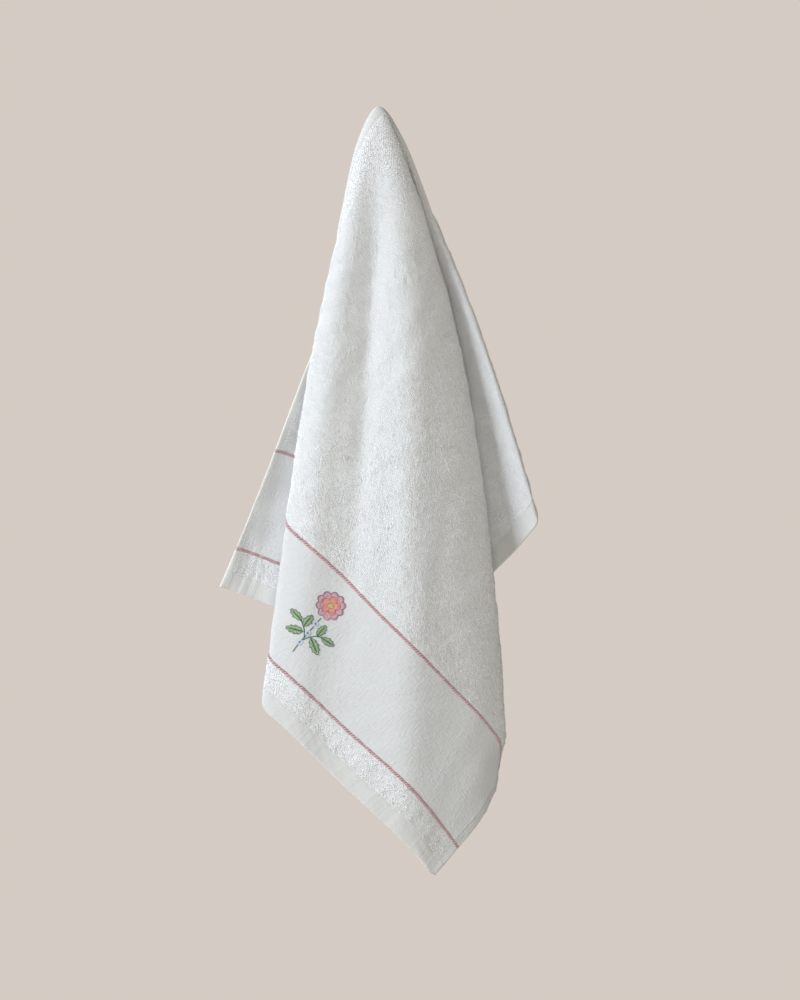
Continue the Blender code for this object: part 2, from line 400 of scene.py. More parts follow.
@dataclass(frozen=True)
class Pucker:
    """Waves along a sewn or woven line, which die away on both sides of it, mm."""

    height: float
    reach: float
    lengths: tuple[float, ...]
    phase: float

    def rise(self, away: Array, along: Array) -> Array:
        """Height of the waves.

        Args:
            away: Distances from the line, m.
            along: Places along the line, m.

        Returns:
            Heights in metres.
        """
        turns = [along / (length * MM) * math.tau for length in self.lengths]
        waves = [np.sin(turn + self.phase * (i + 1)) for i, turn in enumerate(turns)]
        return self.height * MM * np.exp(-((away / (self.reach * MM)) ** 2)) * sum(waves) / len(waves)


@dataclass(frozen=True)
class Dents:
    """Soft dents all over the cloth, in rows that sway, m."""

    height: float = 0.00055
    pitch: tuple[float, float] = (0.046, 0.061)  # across and along the cloth
    sway: tuple[float, float] = (2.0, 2.2)  # radians
    sway_length: tuple[float, float] = (0.190, 0.150)
    phase: float = 1.0

    def rise(self, u: Array, v: Array) -> Array:
        """Height of the dents.

        Args:
            u: Places across the flat cloth, m.
            v: Places along the flat cloth, m.

        Returns:
            Heights in metres.
        """
        sways = [far * np.sin(place / length * math.tau)
                 for far, place, length in zip(self.sway, (v, u), self.sway_length)]
        across = np.sin(u / self.pitch[0] * math.tau + self.phase + sways[0])
        return self.height * across * np.sin(v / self.pitch[1] * math.tau + sways[1])


@dataclass
class ClothPlan:
    """What lies where on the flat cloth, and how thick it is there."""

    drape: Drape
    creases: tuple[Crease, ...] = (
        Crease((30.5, 42.0, 42.0), 0.0036, 0.0095, (0.02, 0.09), (0.26, 0.46)),)
    dents: Dents = Dents()
    striped_end: Pucker = Pucker(0.90, 16.0, (10.5, 17.0, 26.0), 1.3)
    plain_end: Pucker = Pucker(0.65, 16.0, (11.5, 15.0, 29.0), 2.1)
    hung_side: Pucker = Pucker(0.50, 12.0, (15.0, 24.0, 41.0), 0.7)
    far_side: Pucker = Pucker(0.50, 12.0, (13.0, 22.0, 37.0), 2.9)
    stripes: tuple[Pucker, Pucker] = (Pucker(0.22, 7.0, (9.0, 14.0), 0.4),
                                      Pucker(0.22, 7.0, (9.0, 14.0), 3.3))
    pucker_inset: float = 0.013
    smooth_top: tuple[float, float] = (0.050, 0.160)
    end_hem: float = 0.015
    side_hem: float = 0.0075
    hem_step: tuple[float, float] = (-0.001, 0.002)
    lower_stripe: float = 0.036
    upper_stripe: float = 0.1256
    stripe_width: float = 0.0032
    band_step: float = 0.004
    ground_thick: float = 0.0014
    band_thick: float = 0.0016
    hem_thick: float = 0.0023
    gather: tuple[float, float] = (0.060, 0.180)
    edge_round: float = 0.9

    def inside_hems(self, u: Array, v: Array, margin: float) -> Array:
        """True where a flat place lies inside all four hems.

        Args:
            u: Places across the flat cloth, m.
            v: Places along the flat cloth, m.
            margin: Distance that it keeps from the hems, m.

        Returns:
            Truth values.
        """
        side, end = self.side_hem + margin, self.end_hem + margin
        across = (u > side) & (u < self.drape.width - side)
        return across & (v > end) & (v < self.drape.length - end)

    def in_band(self, v: Array, margin: float) -> Array:
        """True between the stripes, the stripes and a margin included."""
        reach = self.stripe_width / 2 + margin
        return (v > self.lower_stripe - reach) & (v < self.upper_stripe + reach)

    def half_thickness(self, u: Array, v: Array) -> Array:
        """Half the thickness of the woven cloth, thin where it gathers and round at its edges.

        Args:
            u: Places across the flat cloth, m.
            v: Places along the flat cloth, m.

        Returns:
            Half thicknesses in metres.
        """
        drape = self.drape
        side, end = np.minimum(u, drape.width - u), np.minimum(v, drape.length - v)
        hem = np.maximum(*(1 - blend(away, *(width + step for step in self.hem_step))
                           for away, width in ((side, self.side_hem), (end, self.end_hem))))
        band = blend(v, self.lower_stripe, self.lower_stripe + self.band_step)
        band = band * (1 - blend(v, self.upper_stripe - self.band_step, self.upper_stripe))
        thick = self.ground_thick + (self.band_thick - self.ground_thick) * band
        thick = thick + (self.hem_thick - thick) * hem
        loose = blend(drape.polar(u, v)[0], *self.gather)
        thick = drape.top_thick + (thick - drape.top_thick) * loose
        edge = np.minimum.reduce([u, drape.width - u, v, drape.length - v])
        rim = np.clip(edge / (thick / 2), 0.0, 1.0)
        return thick / 2 * np.sqrt(1 - self.edge_round * (1 - rim) ** 2)

    def ripple(self, u: Array, v: Array) -> Array:
        """Small unevenness of the cloth: puckers along hems and stripes, creases and soft dents.

        Args:
            u: Places across the flat cloth, m.
            v: Places along the flat cloth, m.

        Returns:
            Heights towards the inner face, m.
        """
        drape = self.drape
        radius, angle = drape.polar(u, v)
        height = self.striped_end.rise(v - self.pucker_inset, u)
        height = height + self.plain_end.rise(drape.length - v - self.pucker_inset, u)
        height = height + self.hung_side.rise(u, v) + self.far_side.rise(drape.width - u, v)
        for place, pucker in zip((self.lower_stripe, self.upper_stripe), self.stripes):
            height = height + pucker.rise(v - place, u)
        for crease in self.creases:
            height = height + crease.rise(drape, radius, angle)
        return (height + self.dents.rise(u, v)) * blend(radius, *self.smooth_top)


@dataclass(frozen=True)
class Shape:
    """One small modelled shape, kept as points and triangles to be repeated."""

    points: Array
    triangles: Array


class ShapeBench:
    """Models each small repeated shape once, with Blender's own tools."""

    @staticmethod
    def start() -> None:
        """Goes to object mode with nothing selected."""
        if bpy.context.object and bpy.context.object.mode != "OBJECT":
            bpy.ops.object.mode_set(mode="OBJECT")
        bpy.ops.object.select_all(action="DESELECT")

    @staticmethod
    def _take() -> Shape:
        """Takes the mesh in edit mode and deletes its object.

        Returns:
            The mesh as a shape.
        """
        bpy.ops.mesh.quads_convert_to_tris()
        bpy.ops.mesh.normals_make_consistent(inside=False)
        bpy.ops.object.mode_set(mode="OBJECT")
        piece = bpy.context.object
        points = np.array([piece.matrix_world @ v.co for v in piece.data.vertices])
        triangles = np.array([tuple(p.vertices) for p in piece.data.polygons])
        if sum(p.normal.z * p.area for p in piece.data.polygons) < 0:
            triangles = triangles[:, ::-1]
        mesh = piece.data
        bpy.data.objects.remove(piece)
        bpy.data.meshes.remove(mesh)
        return Shape(points, triangles)

    def nub(self, end_height: float = 0.38, side_height: float = 0.20) -> Shape:
        """Pile loop as it lies on the cloth: a low pillow, one long, one wide and one high.

        Args:
            end_height: Height at the middle of its ends, as a share of its height.
            side_height: Height at the middle of its sides, as a share of its height.

        Returns:
            The loop, open at its foot.
        """
        self.start()
        bpy.ops.mesh.primitive_grid_add(x_subdivisions=2, y_subdivisions=2, size=1.0)
        for corner in bpy.context.object.data.vertices:
            along, across = (2 * corner.co.x) ** 2, (2 * corner.co.y) ** 2
            corner.co.z = (1 - (1 - end_height) * along) * (1 - (1 - side_height) * across)
        bpy.ops.object.mode_set(mode="EDIT")
        bpy.ops.mesh.select_all(action="SELECT")
        return self._take()

    def lobe(self, segments: int = 6, rings: int = 4, foot: float = 0.06) -> Shape:
        """Raised stitch: half a stretched ball, one long, one wide and one high.

        Args:
            segments: Sides round the ball.
            rings: Rings from pole to pole.
            foot: How far below its middle the ball is cut, as a share of its width.

        Returns:
            The lobe, flat and open at its foot.
        """
        self.start()
        bpy.ops.mesh.primitive_uv_sphere_add(segments=segments, ring_count=rings, radius=0.5)
        bpy.ops.object.mode_set(mode="EDIT")
        bpy.ops.mesh.select_all(action="SELECT")
        bpy.ops.mesh.bisect(plane_co=(0, 0, -foot), plane_no=(0, 0, 1), clear_inner=True)
        bpy.ops.mesh.select_all(action="SELECT")
        bpy.ops.transform.resize(value=(1, 1, 2), center_override=(0, 0, 0))
        return self._take()


@dataclass
class Laid:
    """Copies of one shape laid on the cloth, each with its own place, direction and size."""

    plan: ClothPlan
    face: Face
    kept_size: tuple[float, float] = (0.45, 1.1)  # least and most share of a copy's size in a fold

    def place(self, u: Array, v: Array, lift: float | Array = 0.0) -> tuple[Array, Array, Array, Array]:
        """Places on the cloth's surface, with the directions there.

        Args:
            u: Places across the flat cloth, m.
            v: Places along the flat cloth, m.
            lift: Height above the woven surface, m.

        Returns:
            Places, the change a metre of u makes, the same for v, and unit outward normals.
        """
        middle, along_u, along_v, normal = self.plan.drape.frames(u, v)
        rise = self.plan.ripple(u, v) + self.face.value * (self.plan.half_thickness(u, v) + lift)
        return middle + normal * rise[..., None], along_u, along_v, normal * self.face.value

    def copies(self, shape: Shape, u: Array, v: Array, run: Array, size: Array, lift: float | Array = 0.0,
               lean: Array | None = None) -> tuple[Array, Array]:
        """Lays copies of a shape.

        Args:
            shape: The shape, whose long way is its x axis.
            u: Places across the flat cloth, m.
            v: Places along the flat cloth, m.
            run: Flat direction of each copy's long way, two columns, not zero.
            size: Length, width and height of each copy, m.
            lift: Height of each copy's foot above the surface, m.
            lean: How far each copy's top leans along its length and width, as shares of its height.

        Returns:
            Points and triangles of all copies.
        """
        middle, along_u, along_v, normal = self.place(u, v, lift)
        way = run / np.maximum(np.hypot(*run.T), 1e-9)[:, None]
        first, second = way[:, :1], way[:, 1:]
        long, aside = first * along_u + second * along_v, first * along_v - second * along_u
        drawn = [np.linalg.norm(m, axis=1, keepdims=True) for m in (long, aside)]
        long /= np.maximum(drawn[0], 1e-9)
        wide = np.cross(normal, long)
        wide /= np.maximum(np.linalg.norm(wide, axis=1, keepdims=True), 1e-9)
        size = size * np.hstack([*(np.clip(d, *self.kept_size) for d in drawn), np.ones_like(drawn[0])])
        up = normal if lean is None else normal + lean[:, :1] * long + lean[:, 1:] * wide
        axes = np.stack([long * size[:, :1], wide * size[:, 1:2], up * size[:, 2:3]], axis=1)
        points = middle[:, None] + np.einsum("pk,nkc->npc", shape.points, axes)
        steps = np.arange(len(u))[:, None, None] * len(shape.points)
        return points.reshape(-1, 3), (shape.triangles[None] + steps).reshape(-1, 3)


# ---------------------------------------------------------------- finishes


class Wire:
    """A shader socket whose arithmetic adds Math nodes."""

    def __init__(self, board: "NodeBoard", socket: bpy.types.NodeSocket) -> None:
        """Wraps a socket of a board."""
        self.board, self.socket = board, socket

    def _math(self, operation: str, *values: "Wire | float") -> "Wire":
        """Adds one Math node on the values."""
        return self.board.add("ShaderNodeMath", {"operation": operation}, dict(enumerate(values)))

    def __add__(self, other: "Wire | float") -> "Wire":
        """Sum."""
        return self._math("ADD", self, other)

    def __sub__(self, other: "Wire | float") -> "Wire":
        """Difference."""
        return self._math("SUBTRACT", self, other)

    def __rsub__(self, other: float) -> "Wire":
        """Difference from a number."""
        return self._math("SUBTRACT", other, self)

    def __mul__(self, other: "Wire | float") -> "Wire":
        """Product."""
        return self._math("MULTIPLY", self, other)

    def __abs__(self) -> "Wire":
        """Size without sign."""
        return self._math("ABSOLUTE", self)

    __radd__, __rmul__ = __add__, __mul__

    def sine(self) -> "Wire":
        """Sine of the value in radians."""
        return self._math("SINE", self)

    def least(self, other: "Wire | float") -> "Wire":
        """The smaller of two values."""
        return self._math("MINIMUM", self, other)

    def most(self, other: "Wire | float") -> "Wire":
        """The larger of two values."""
        return self._math("MAXIMUM", self, other)

    def step(self, start: float, end: float) -> "Wire":
        """Smooth step from 0 at start to 1 at end."""
        reach = {"Value": self, "From Min": start, "From Max": end}
        return self.board.add("ShaderNodeMapRange", {"interpolation_type": "SMOOTHSTEP"}, reach)


class NodeBoard:
    """The nodes of one material."""

    def __init__(self, name: str) -> None:
        """Starts a material with a Principled shader.

        Args:
            name: Name of the material.
        """
        self.material = bpy.data.materials.new(name)
        self.material.use_nodes = True
        self.nodes, self.links = self.material.node_tree.nodes, self.material.node_tree.links
        self.shader = self.nodes["Principled BSDF"]

    def add(self, kind: str, settings: dict | None = None, inputs: dict | None = None,
            output: int | str = 0) -> Wire:
        """Adds a node.

        Args:
            kind: Type of the node.
            settings: Properties of the node, set before its sockets.
            inputs: Values or wires by socket name or number.
            output: Socket that the wire is taken from.

        Returns:
            The wire of that output.
        """
        node = self.nodes.new(kind)
        for name, value in (settings or {}).items():
            setattr(node, name, value)
        for name, value in (inputs or {}).items():
            self.put(node.inputs[name], value)
        return Wire(self, node.outputs[output])

    def put(self, socket: bpy.types.NodeSocket, value: "Wire | float | tuple") -> None:
        """Fills a socket.

        Args:
            socket: The socket.
            value: The wire to link to it, or the value to set.
        """
        if isinstance(value, Wire):
            self.links.new(value.socket, socket)
        else:
            socket.default_value = value

    def mix(self, share: "Wire | float", first: "Wire | tuple", second: "Wire | tuple") -> Wire:
        """Mixes two colours.

        Args:
            share: Share of the second colour.
            first: The first colour.
            second: The second colour.

        Returns:
            The mixed colour.
        """
        return self.add("ShaderNodeMix", {"data_type": "RGBA"}, {0: share, 6: first, 7: second}, 2)

    def noise(self, vector: Wire, scale: float, detail: float = 3.0) -> Wire:
        """Noise from 0 to 1 on a vector."""
        return self.add("ShaderNodeTexNoise", {}, {"Vector": vector, "Scale": scale, "Detail": detail})

    def bump(self, height: Wire, distance: float, strength: float) -> Wire:
        """Normal of a face with a bumpy height."""
        return self.add("ShaderNodeBump", {}, {"Height": height, "Distance": distance, "Strength": strength})

    def finish(self, **values: "Wire | float | tuple") -> bpy.types.Material:
        """Sets the shader's sockets.

        Args:
            **values: Wires or values by socket name, with underscores for the spaces in the name.

        Returns:
            The material.
        """
        for name, value in values.items():
            self.put(self.shader.inputs[name.replace("_", " ")], value)
        return self.material


@dataclass(frozen=True)
class ClothFinish:
    """Woven cotton: terry base cloth painted darker as painted shade between the loops, smooth band, plain
    hems with a painted warm highlight along their edge; lengths in metres.
    """

    plan: ClothPlan
    # Base colour of the terry cloth, painted darker than the yarn: painted shade between the loops.
    shaded_ground: tuple = (0.70, 0.71, 0.72, 1.0)
    band: tuple = (0.705, 0.715, 0.737, 1.0)
    hem: tuple = (0.655, 0.655, 0.65, 1.0)
    # Painted highlight: a pale warm rim along the cloth's outer edge, where the rounded hem catches the
    # light.
    edge: tuple = (0.84, 0.79, 0.72, 1.0)
    stripe: tuple = (0.57, 0.38, 0.39, 1.0)
    shade: tuple = (0.60, 0.60, 0.59, 1.0)
    weave_pitch: float = 0.0011
    grid_pitch: float = 0.0024
    knob_pitch: float = 0.0015
    rib_pitch: float = 0.0019
    hem_blur: float = 0.0004
    stripe_fades: tuple[float, float] = (0.38, 0.52)  # shares of a stripe's width
    edge_highlight_reach: tuple[float, float] = (0.0005, 0.0011)  # reach of the painted warm highlight along the side hem's outer edge
    end_edge: float = 1.6  # how much narrower it is on the end hems
    streak_scales: tuple = ((180.0, 620.0, 1.0), (560.0, 150.0, 1.0))
    speckle_scale: float = 900.0
    mottle_scale: float = 38.0
    puckers: tuple = ((330.0, 2.5), (105.0, 10.0))  # noise scale and bump
    speckle_tone: float = 0.08
    mottle_tone: float = 0.05
    streak_tone: float = 0.50
    weave_bump: float = 0.05
    grid_bump: float = 0.045
    speckle_bump: float = 0.22
    streak_bump: float = 2.3
    rib_bump: float = 0.3
    hem_bump: float = 0.16
    bump_height: float = 0.0006

    def material(self) -> bpy.types.Material:
        """Builds the material on the flat map.

        Returns:
            The material.
        """
        plan, board = self.plan, NodeBoard("woven cotton")
        flat = board.add("ShaderNodeUVMap", {"uv_map": "cloth"})
        u, v = (board.add("ShaderNodeSeparateXYZ", {}, {0: flat}, axis) for axis in (0, 1))
        side = u.least(plan.drape.width - u)
        end = v.least(plan.drape.length - v)
        hem = (1 - side.step(plan.side_hem - self.hem_blur, plan.side_hem + self.hem_blur)).most(
            1 - end.step(plan.end_hem - self.hem_blur, plan.end_hem + self.hem_blur))
        band = v.step(plan.lower_stripe, plan.lower_stripe + MM) * (
            1 - v.step(plan.upper_stripe - MM, plan.upper_stripe))
        lines = [abs(v - place).least(1.0) for place in (plan.lower_stripe, plan.upper_stripe)]
        stripe = 1 - lines[0].least(lines[1]).step(*(plan.stripe_width * s for s in self.stripe_fades))
        # Mask of the painted highlight: a thin rim along the outer edge of the hems.
        turned = 1 - side.least(end * self.end_edge).step(*self.edge_highlight_reach)
        speckle = board.noise(flat, self.speckle_scale)
        mottle = board.noise(flat, self.mottle_scale)
        drawn = [board.add("ShaderNodeVectorMath", {"operation": "MULTIPLY"}, {0: flat, 1: scales})
                 for scales in self.streak_scales]
        streak = (board.noise(drawn[0], 1.0) + board.noise(drawn[1], 1.0)) * 0.5
        # Starts from the painted shade of the terry base; band, hems, rim and stripes are mixed over it.
        color = board.mix(band, self.shaded_ground, self.band)
        color = board.mix(hem, color, self.hem)
        # Paints the warm highlight on that rim.
        color = board.mix(turned, color, self.edge)
        color = board.mix(stripe * 0.9, color, self.stripe)
        tone = speckle * self.speckle_tone + mottle * self.mottle_tone + streak * self.streak_tone * band
        color = board.mix(tone, color, self.shade)
        weave, grid = ([(place * (math.tau / pitch)).sine() for place in (u, v)]
                       for pitch in (self.weave_pitch, self.grid_pitch))
        knobs = board.add("ShaderNodeTexVoronoi", {"feature": "SMOOTH_F1"},
                          {"Vector": flat, "Scale": 1 / self.knob_pitch, "Smoothness": 0.25})
        inside = end.step(plan.end_hem, plan.end_hem + MM)
        across = u * (1 - inside) + v * inside
        (fine, fine_share), (broad, broad_share) = self.puckers
        puckers = board.noise(across, fine) * fine_share + board.noise(across, broad) * broad_share
        ribs = (across * (math.tau / self.rib_pitch)).sine() * self.rib_bump + speckle + puckers
        plain = weave[0] * weave[1] * self.weave_bump + grid[0].most(grid[1]) * self.grid_bump
        plain = plain + speckle * self.speckle_bump + streak * self.streak_bump
        height = plain * band + ribs * self.hem_bump * hem + (1 - knobs) * (1 - band) * (1 - hem)
        return board.finish(Base_Color=color, Roughness=0.93, Sheen_Weight=0.12, Sheen_Roughness=0.5,
                            Normal=board.bump(height, self.bump_height, 0.8))


@dataclass(frozen=True)
class YarnFinish:
    """Matt cotton yarn with a slight change of tone from place to place."""

    name: str
    color: tuple
    shade: float = 0.86
    roughness: float = 0.92
    sheen: float = 0.10
    grain: float = 520.0
    glow: float = 0.0
    glow_depth: float = 0.0015
    tone_steps: tuple[float, float] = (0.34, 0.66)
    patch_scale: float = 45.0
    fibre_scale: float = 1900.0
    fibre_height: float = 0.00022

    def material(self) -> bpy.types.Material:
        """Builds the material on object coordinates.

        Returns:
            The material.
        """
        board = NodeBoard(self.name)
        place = board.add("ShaderNodeTexCoord", output="Object")
        tone = board.noise(place, self.grain, 2.0).step(*self.tone_steps) * 0.8
        tone = tone + board.noise(place, self.patch_scale, 2.0) * 0.3
        dark = tuple(c * self.shade for c in self.color[:3]) + (1.0,)
        fibre = board.bump(board.noise(place, self.fibre_scale, 2.0), self.fibre_height, 0.7)
        return board.finish(
            Base_Color=board.mix(tone, dark, self.color), Roughness=self.roughness, Normal=fibre,
            Sheen_Weight=self.sheen, Sheen_Roughness=0.5, Subsurface_Weight=self.glow,
            Subsurface_Scale=self.glow_depth, Subsurface_Radius=(1.0, 1.0, 1.0))


@dataclass(frozen=True)
class FloorFinish:
    """Pale matt studio floor."""

    color: tuple = (0.72, 0.70, 0.67, 1.0)
    shade: tuple = (0.66, 0.64, 0.61, 1.0)

    def material(self) -> bpy.types.Material:
        """Builds the material on object coordinates.

        Returns:
            The material.
        """
        board = NodeBoard("pale floor")
        place = board.add("ShaderNodeTexCoord", output="Object")
        color = board.mix(board.noise(place, 3.0) * 0.1, self.color, self.shade)
        return board.finish(Base_Color=color, Roughness=0.8)


# ---------------------------------------------------------------- pieces


def mesh_piece(name: str, points: Array, faces: Array, material: bpy.types.Material,
               flat: Array | None = None) -> bpy.types.Object:
    """Makes an object from arrays.

    Args:
        name: Name of the piece.
        points: Places of its points, m.
        faces: Point numbers of its faces, all of one size.
        material: Its finish.
        flat: Flat place of each point, kept as the map "cloth".

    Returns:
        The object, at the origin.
    """
    mesh = bpy.data.meshes.new(name)
    mesh.vertices.add(len(points))
    mesh.vertices.foreach_set("co", np.ascontiguousarray(points, dtype=np.float32).ravel())
    mesh.loops.add(faces.size)
    mesh.loops.foreach_set("vertex_index", np.ascontiguousarray(faces, dtype=np.int32).ravel())
    mesh.polygons.add(len(faces))
    mesh.polygons.foreach_set("loop_start", np.arange(0, faces.size, faces.shape[1], dtype=np.int32))
    mesh.polygons.foreach_set("use_smooth", np.full(len(faces), True))
    if flat is not None:
        layer = mesh.uv_layers.new(name="cloth")
        layer.data.foreach_set("uv", flat[faces.ravel()].astype(np.float32).ravel())
    mesh.update(calc_edges=True)
    mesh.validate()
    mesh.materials.append(material)
    piece = bpy.data.objects.new(name, mesh)
    bpy.context.collection.objects.link(piece)
    return piece


@dataclass
class Heap:
    """Copies of shapes gathered into one piece."""

    points: list[Array] = field(default_factory=list)
    faces: list[Array] = field(default_factory=list)
    count: int = 0

    def add(self, points: Array, faces: Array) -> None:
        """Adds copies.

        Args:
            points: Places of their points, m.
            faces: Triangles between those points.
        """
        self.points.append(points)
        self.faces.append(faces + self.count)
        self.count += len(points)

    def piece(self, name: str, material: bpy.types.Material) -> bpy.types.Object:
        """Makes one object of all the copies."""
        return mesh_piece(name, np.concatenate(self.points), np.concatenate(self.faces), material)


def settle(piece: bpy.types.Object) -> None:
    """Lets a piece ride on the cloth's body and reports it.

    Args:
        piece: The piece.
    """
    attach(piece, "root")
    LOG.info("%s: %d faces", piece.name, len(piece.data.polygons))


@dataclass
class ClothSheet:
    """The woven sheet itself, one closed piece with rounded hems."""

    plan: ClothPlan
    pleat_step: float = 0.46  # degrees between mesh columns in pleats
    panel_step: float = 0.72  # degrees between mesh columns elsewhere
    top_rings: int = 22
    outer_rings: int = 70
    top_reach: float = 0.100
    top_growth: float = 1.25
    rounds: int = 40  # of the search for where a curved column meets the outline
    pull: float = 0.6  # share of the way that each round goes
    edge_shares: tuple[float, ...] = (0.012, 0.04, 0.10, 0.22, 0.45, 0.72)
    rim: tuple[tuple[float, float, float], ...] = (
        (16.2, 8.7, 16.2), (14.2, 6.8, 14.2), (10.0, 5.0, 10.0), (6.0, 3.4, 6.0),
        (3.0, 2.0, 3.0), (1.5, 1.1, 1.5), (0.7, 0.6, 0.7), (0.25, 0.25, 0.25), (0.0, 0.0, 0.0))

    def column_steps(self) -> list[tuple[int, int, float]]:
        """Lays out the mesh columns between the fold lines.

        Returns:
            Line before, line after and share of the way, for each column.
        """
        lines, steps = self.plan.drape.lines, []
        for i, (line, following) in enumerate(zip(lines, lines[1:])):
            fine = self.pleat_step if "pleats" in line.name + following.name else self.panel_step
            span = max(following.flat[1] - line.flat[1], following.flat[2] - line.flat[2])
            count = max(2, math.ceil(span / fine))
            steps += [(i, i + 1, k / count) for k in range(1 if i == 0 else 0, count)]
        return steps

    def column_angle(self, steps: list[tuple[int, int, float]], radius: Array) -> Array:
        """Flat angles of the mesh columns.

        Args:
            steps: Line before, line after and share of the way, for each column.
            radius: Radius that each column is read at, m.

        Returns:
            Angles in degrees.
        """
        drape = self.plan.drape
        flats = np.array([line.flat for line in drape.lines])
        before, after, share = (np.array(part) for part in zip(*steps))
        start = drape.on_circles(flats[before].T, radius)
        end = drape.on_circles(flats[after].T, radius)
        return drape.squeeze(start + (end - start) * share, radius)

    def grid(self) -> tuple[Array, Array]:
        """Lays out the mesh.

        Returns:
            Flat places u and v of its points, columns by rings, m.
        """
        drape, steps = self.plan.drape, self.column_steps()
        inner = self.top_reach * np.linspace(0.0, 1.0, self.top_rings + 1)[1:] ** self.top_growth
        insets = [self.rim[0]] * (self.outer_rings - 1) + list(self.rim)
        shares = [k / self.outer_rings for k in range(1, self.outer_rings)] + [1.0] * len(self.rim)
        rings = []
        for radius in inner:
            radius = np.full(len(steps), radius)
            rings.append((radius, self.column_angle(steps, radius)))
        for share, inset in zip(shares, insets):
            for _ in range(self.rounds):
                angle = self.column_angle(steps, radius)
                edge = drape.outline(angle, tuple(d * MM for d in inset))
                goal = self.top_reach + (edge - self.top_reach) * share
                radius = (1 - self.pull) * radius + self.pull * goal
            rings.append((radius, self.column_angle(steps, radius)))
        return self.with_side_hem(*(np.array(part).T for part in zip(*rings)))

    def with_side_hem(self, radius: Array, angle: Array) -> tuple[Array, Array]:
        """Adds the columns of the side hem that the cloth hangs by.

        Args:
            radius: Radii of the other columns, columns by rings, m.
            angle: Their flat angles, degrees.

        Returns:
            Flat places u and v of all columns, m.
        """
        drape = self.plan.drape
        low = [angle[0] * s for s in (0.0,) + self.edge_shares]
        high = [180.0 - (180.0 - angle[-1]) * s for s in self.edge_shares[::-1] + (0.0,)]
        share, before = (np.vstack([part[:1]] * len(low) + [part] + [part[-1:]] * len(high))
                         for part in (radius, angle))
        angle = np.vstack(low + [angle] + high)
        outer = slice(self.top_rings, None)
        ratio = share[:, outer] / drape.outline(before[:, outer])
        share[:, outer] = ratio * drape.outline(angle[:, outer])
        assert np.all(np.diff(angle, axis=0) > 0), "mesh columns cross"
        return share * np.sin(np.radians(angle)), drape.seat - share * np.cos(np.radians(angle))

    @staticmethod
    def faces(columns: int, rings: int) -> Array:
        """Triangles of both sides and of the edge round them.

        Args:
            columns: Number of columns.
            rings: Number of points in each column.

        Returns:
            Point numbers of the triangles; the two points at the hanging point have the last numbers.
        """
        count = columns * rings
        c, k = np.meshgrid(np.arange(columns - 1), np.arange(rings - 1), indexing="ij")
        a, b = (c * rings + k).ravel(), ((c + 1) * rings + k).ravel()
        front = np.concatenate([np.stack([a, a + 1, b + 1], 1), np.stack([a, b + 1, b], 1)])
        back = front[:, ::-1] + count
        tips = np.arange(columns - 1) * rings
        tip = np.stack([np.full(columns - 1, 2 * count), tips, tips + rings], 1)
        tip_back = np.stack([np.full(columns - 1, 2 * count + 1), tips + rings + count, tips + count], 1)
        rim = np.array([*range(rings - 1), *(n * rings + rings - 1 for n in range(columns)),
                        *range(count - 2, count - rings - 1, -1)])
        i, j = rim[:-1], rim[1:]
        edge = np.concatenate([np.stack([i, i + count, j + count], 1), np.stack([i, j + count, j], 1)])
        ends = [(rim[0], 2 * count, 2 * count + 1), (rim[0], 2 * count + 1, rim[0] + count),
                (rim[-1], 2 * count + 1, 2 * count), (rim[-1], rim[-1] + count, 2 * count + 1)]
        return np.concatenate([front, back, tip, tip_back, edge, np.array(ends)])

    def build(self, finish: ClothFinish) -> bpy.types.Object:
        """Builds the sheet.

        Args:
            finish: The cloth's finish.

        Returns:
            The sheet as one closed object that stands for the towel's solid.
        """
        drape, (u, v) = self.plan.drape, self.grid()
        sides = [Laid(self.plan, face).place(u, v)[0].reshape(-1, 3) for face in (Face.INNER, Face.OUTER)]
        top = np.array([[0.0, 0.0, drape.top_thick], [0.0, 0.0, 0.0]])
        flat = np.stack([u.ravel(), v.ravel()], axis=1)
        flat = np.concatenate([flat, flat, [[0.0, drape.seat]] * 2])
        return mesh_piece("towel_cloth", np.concatenate([*sides, top]), self.faces(*u.shape),
                          finish.material(), flat)


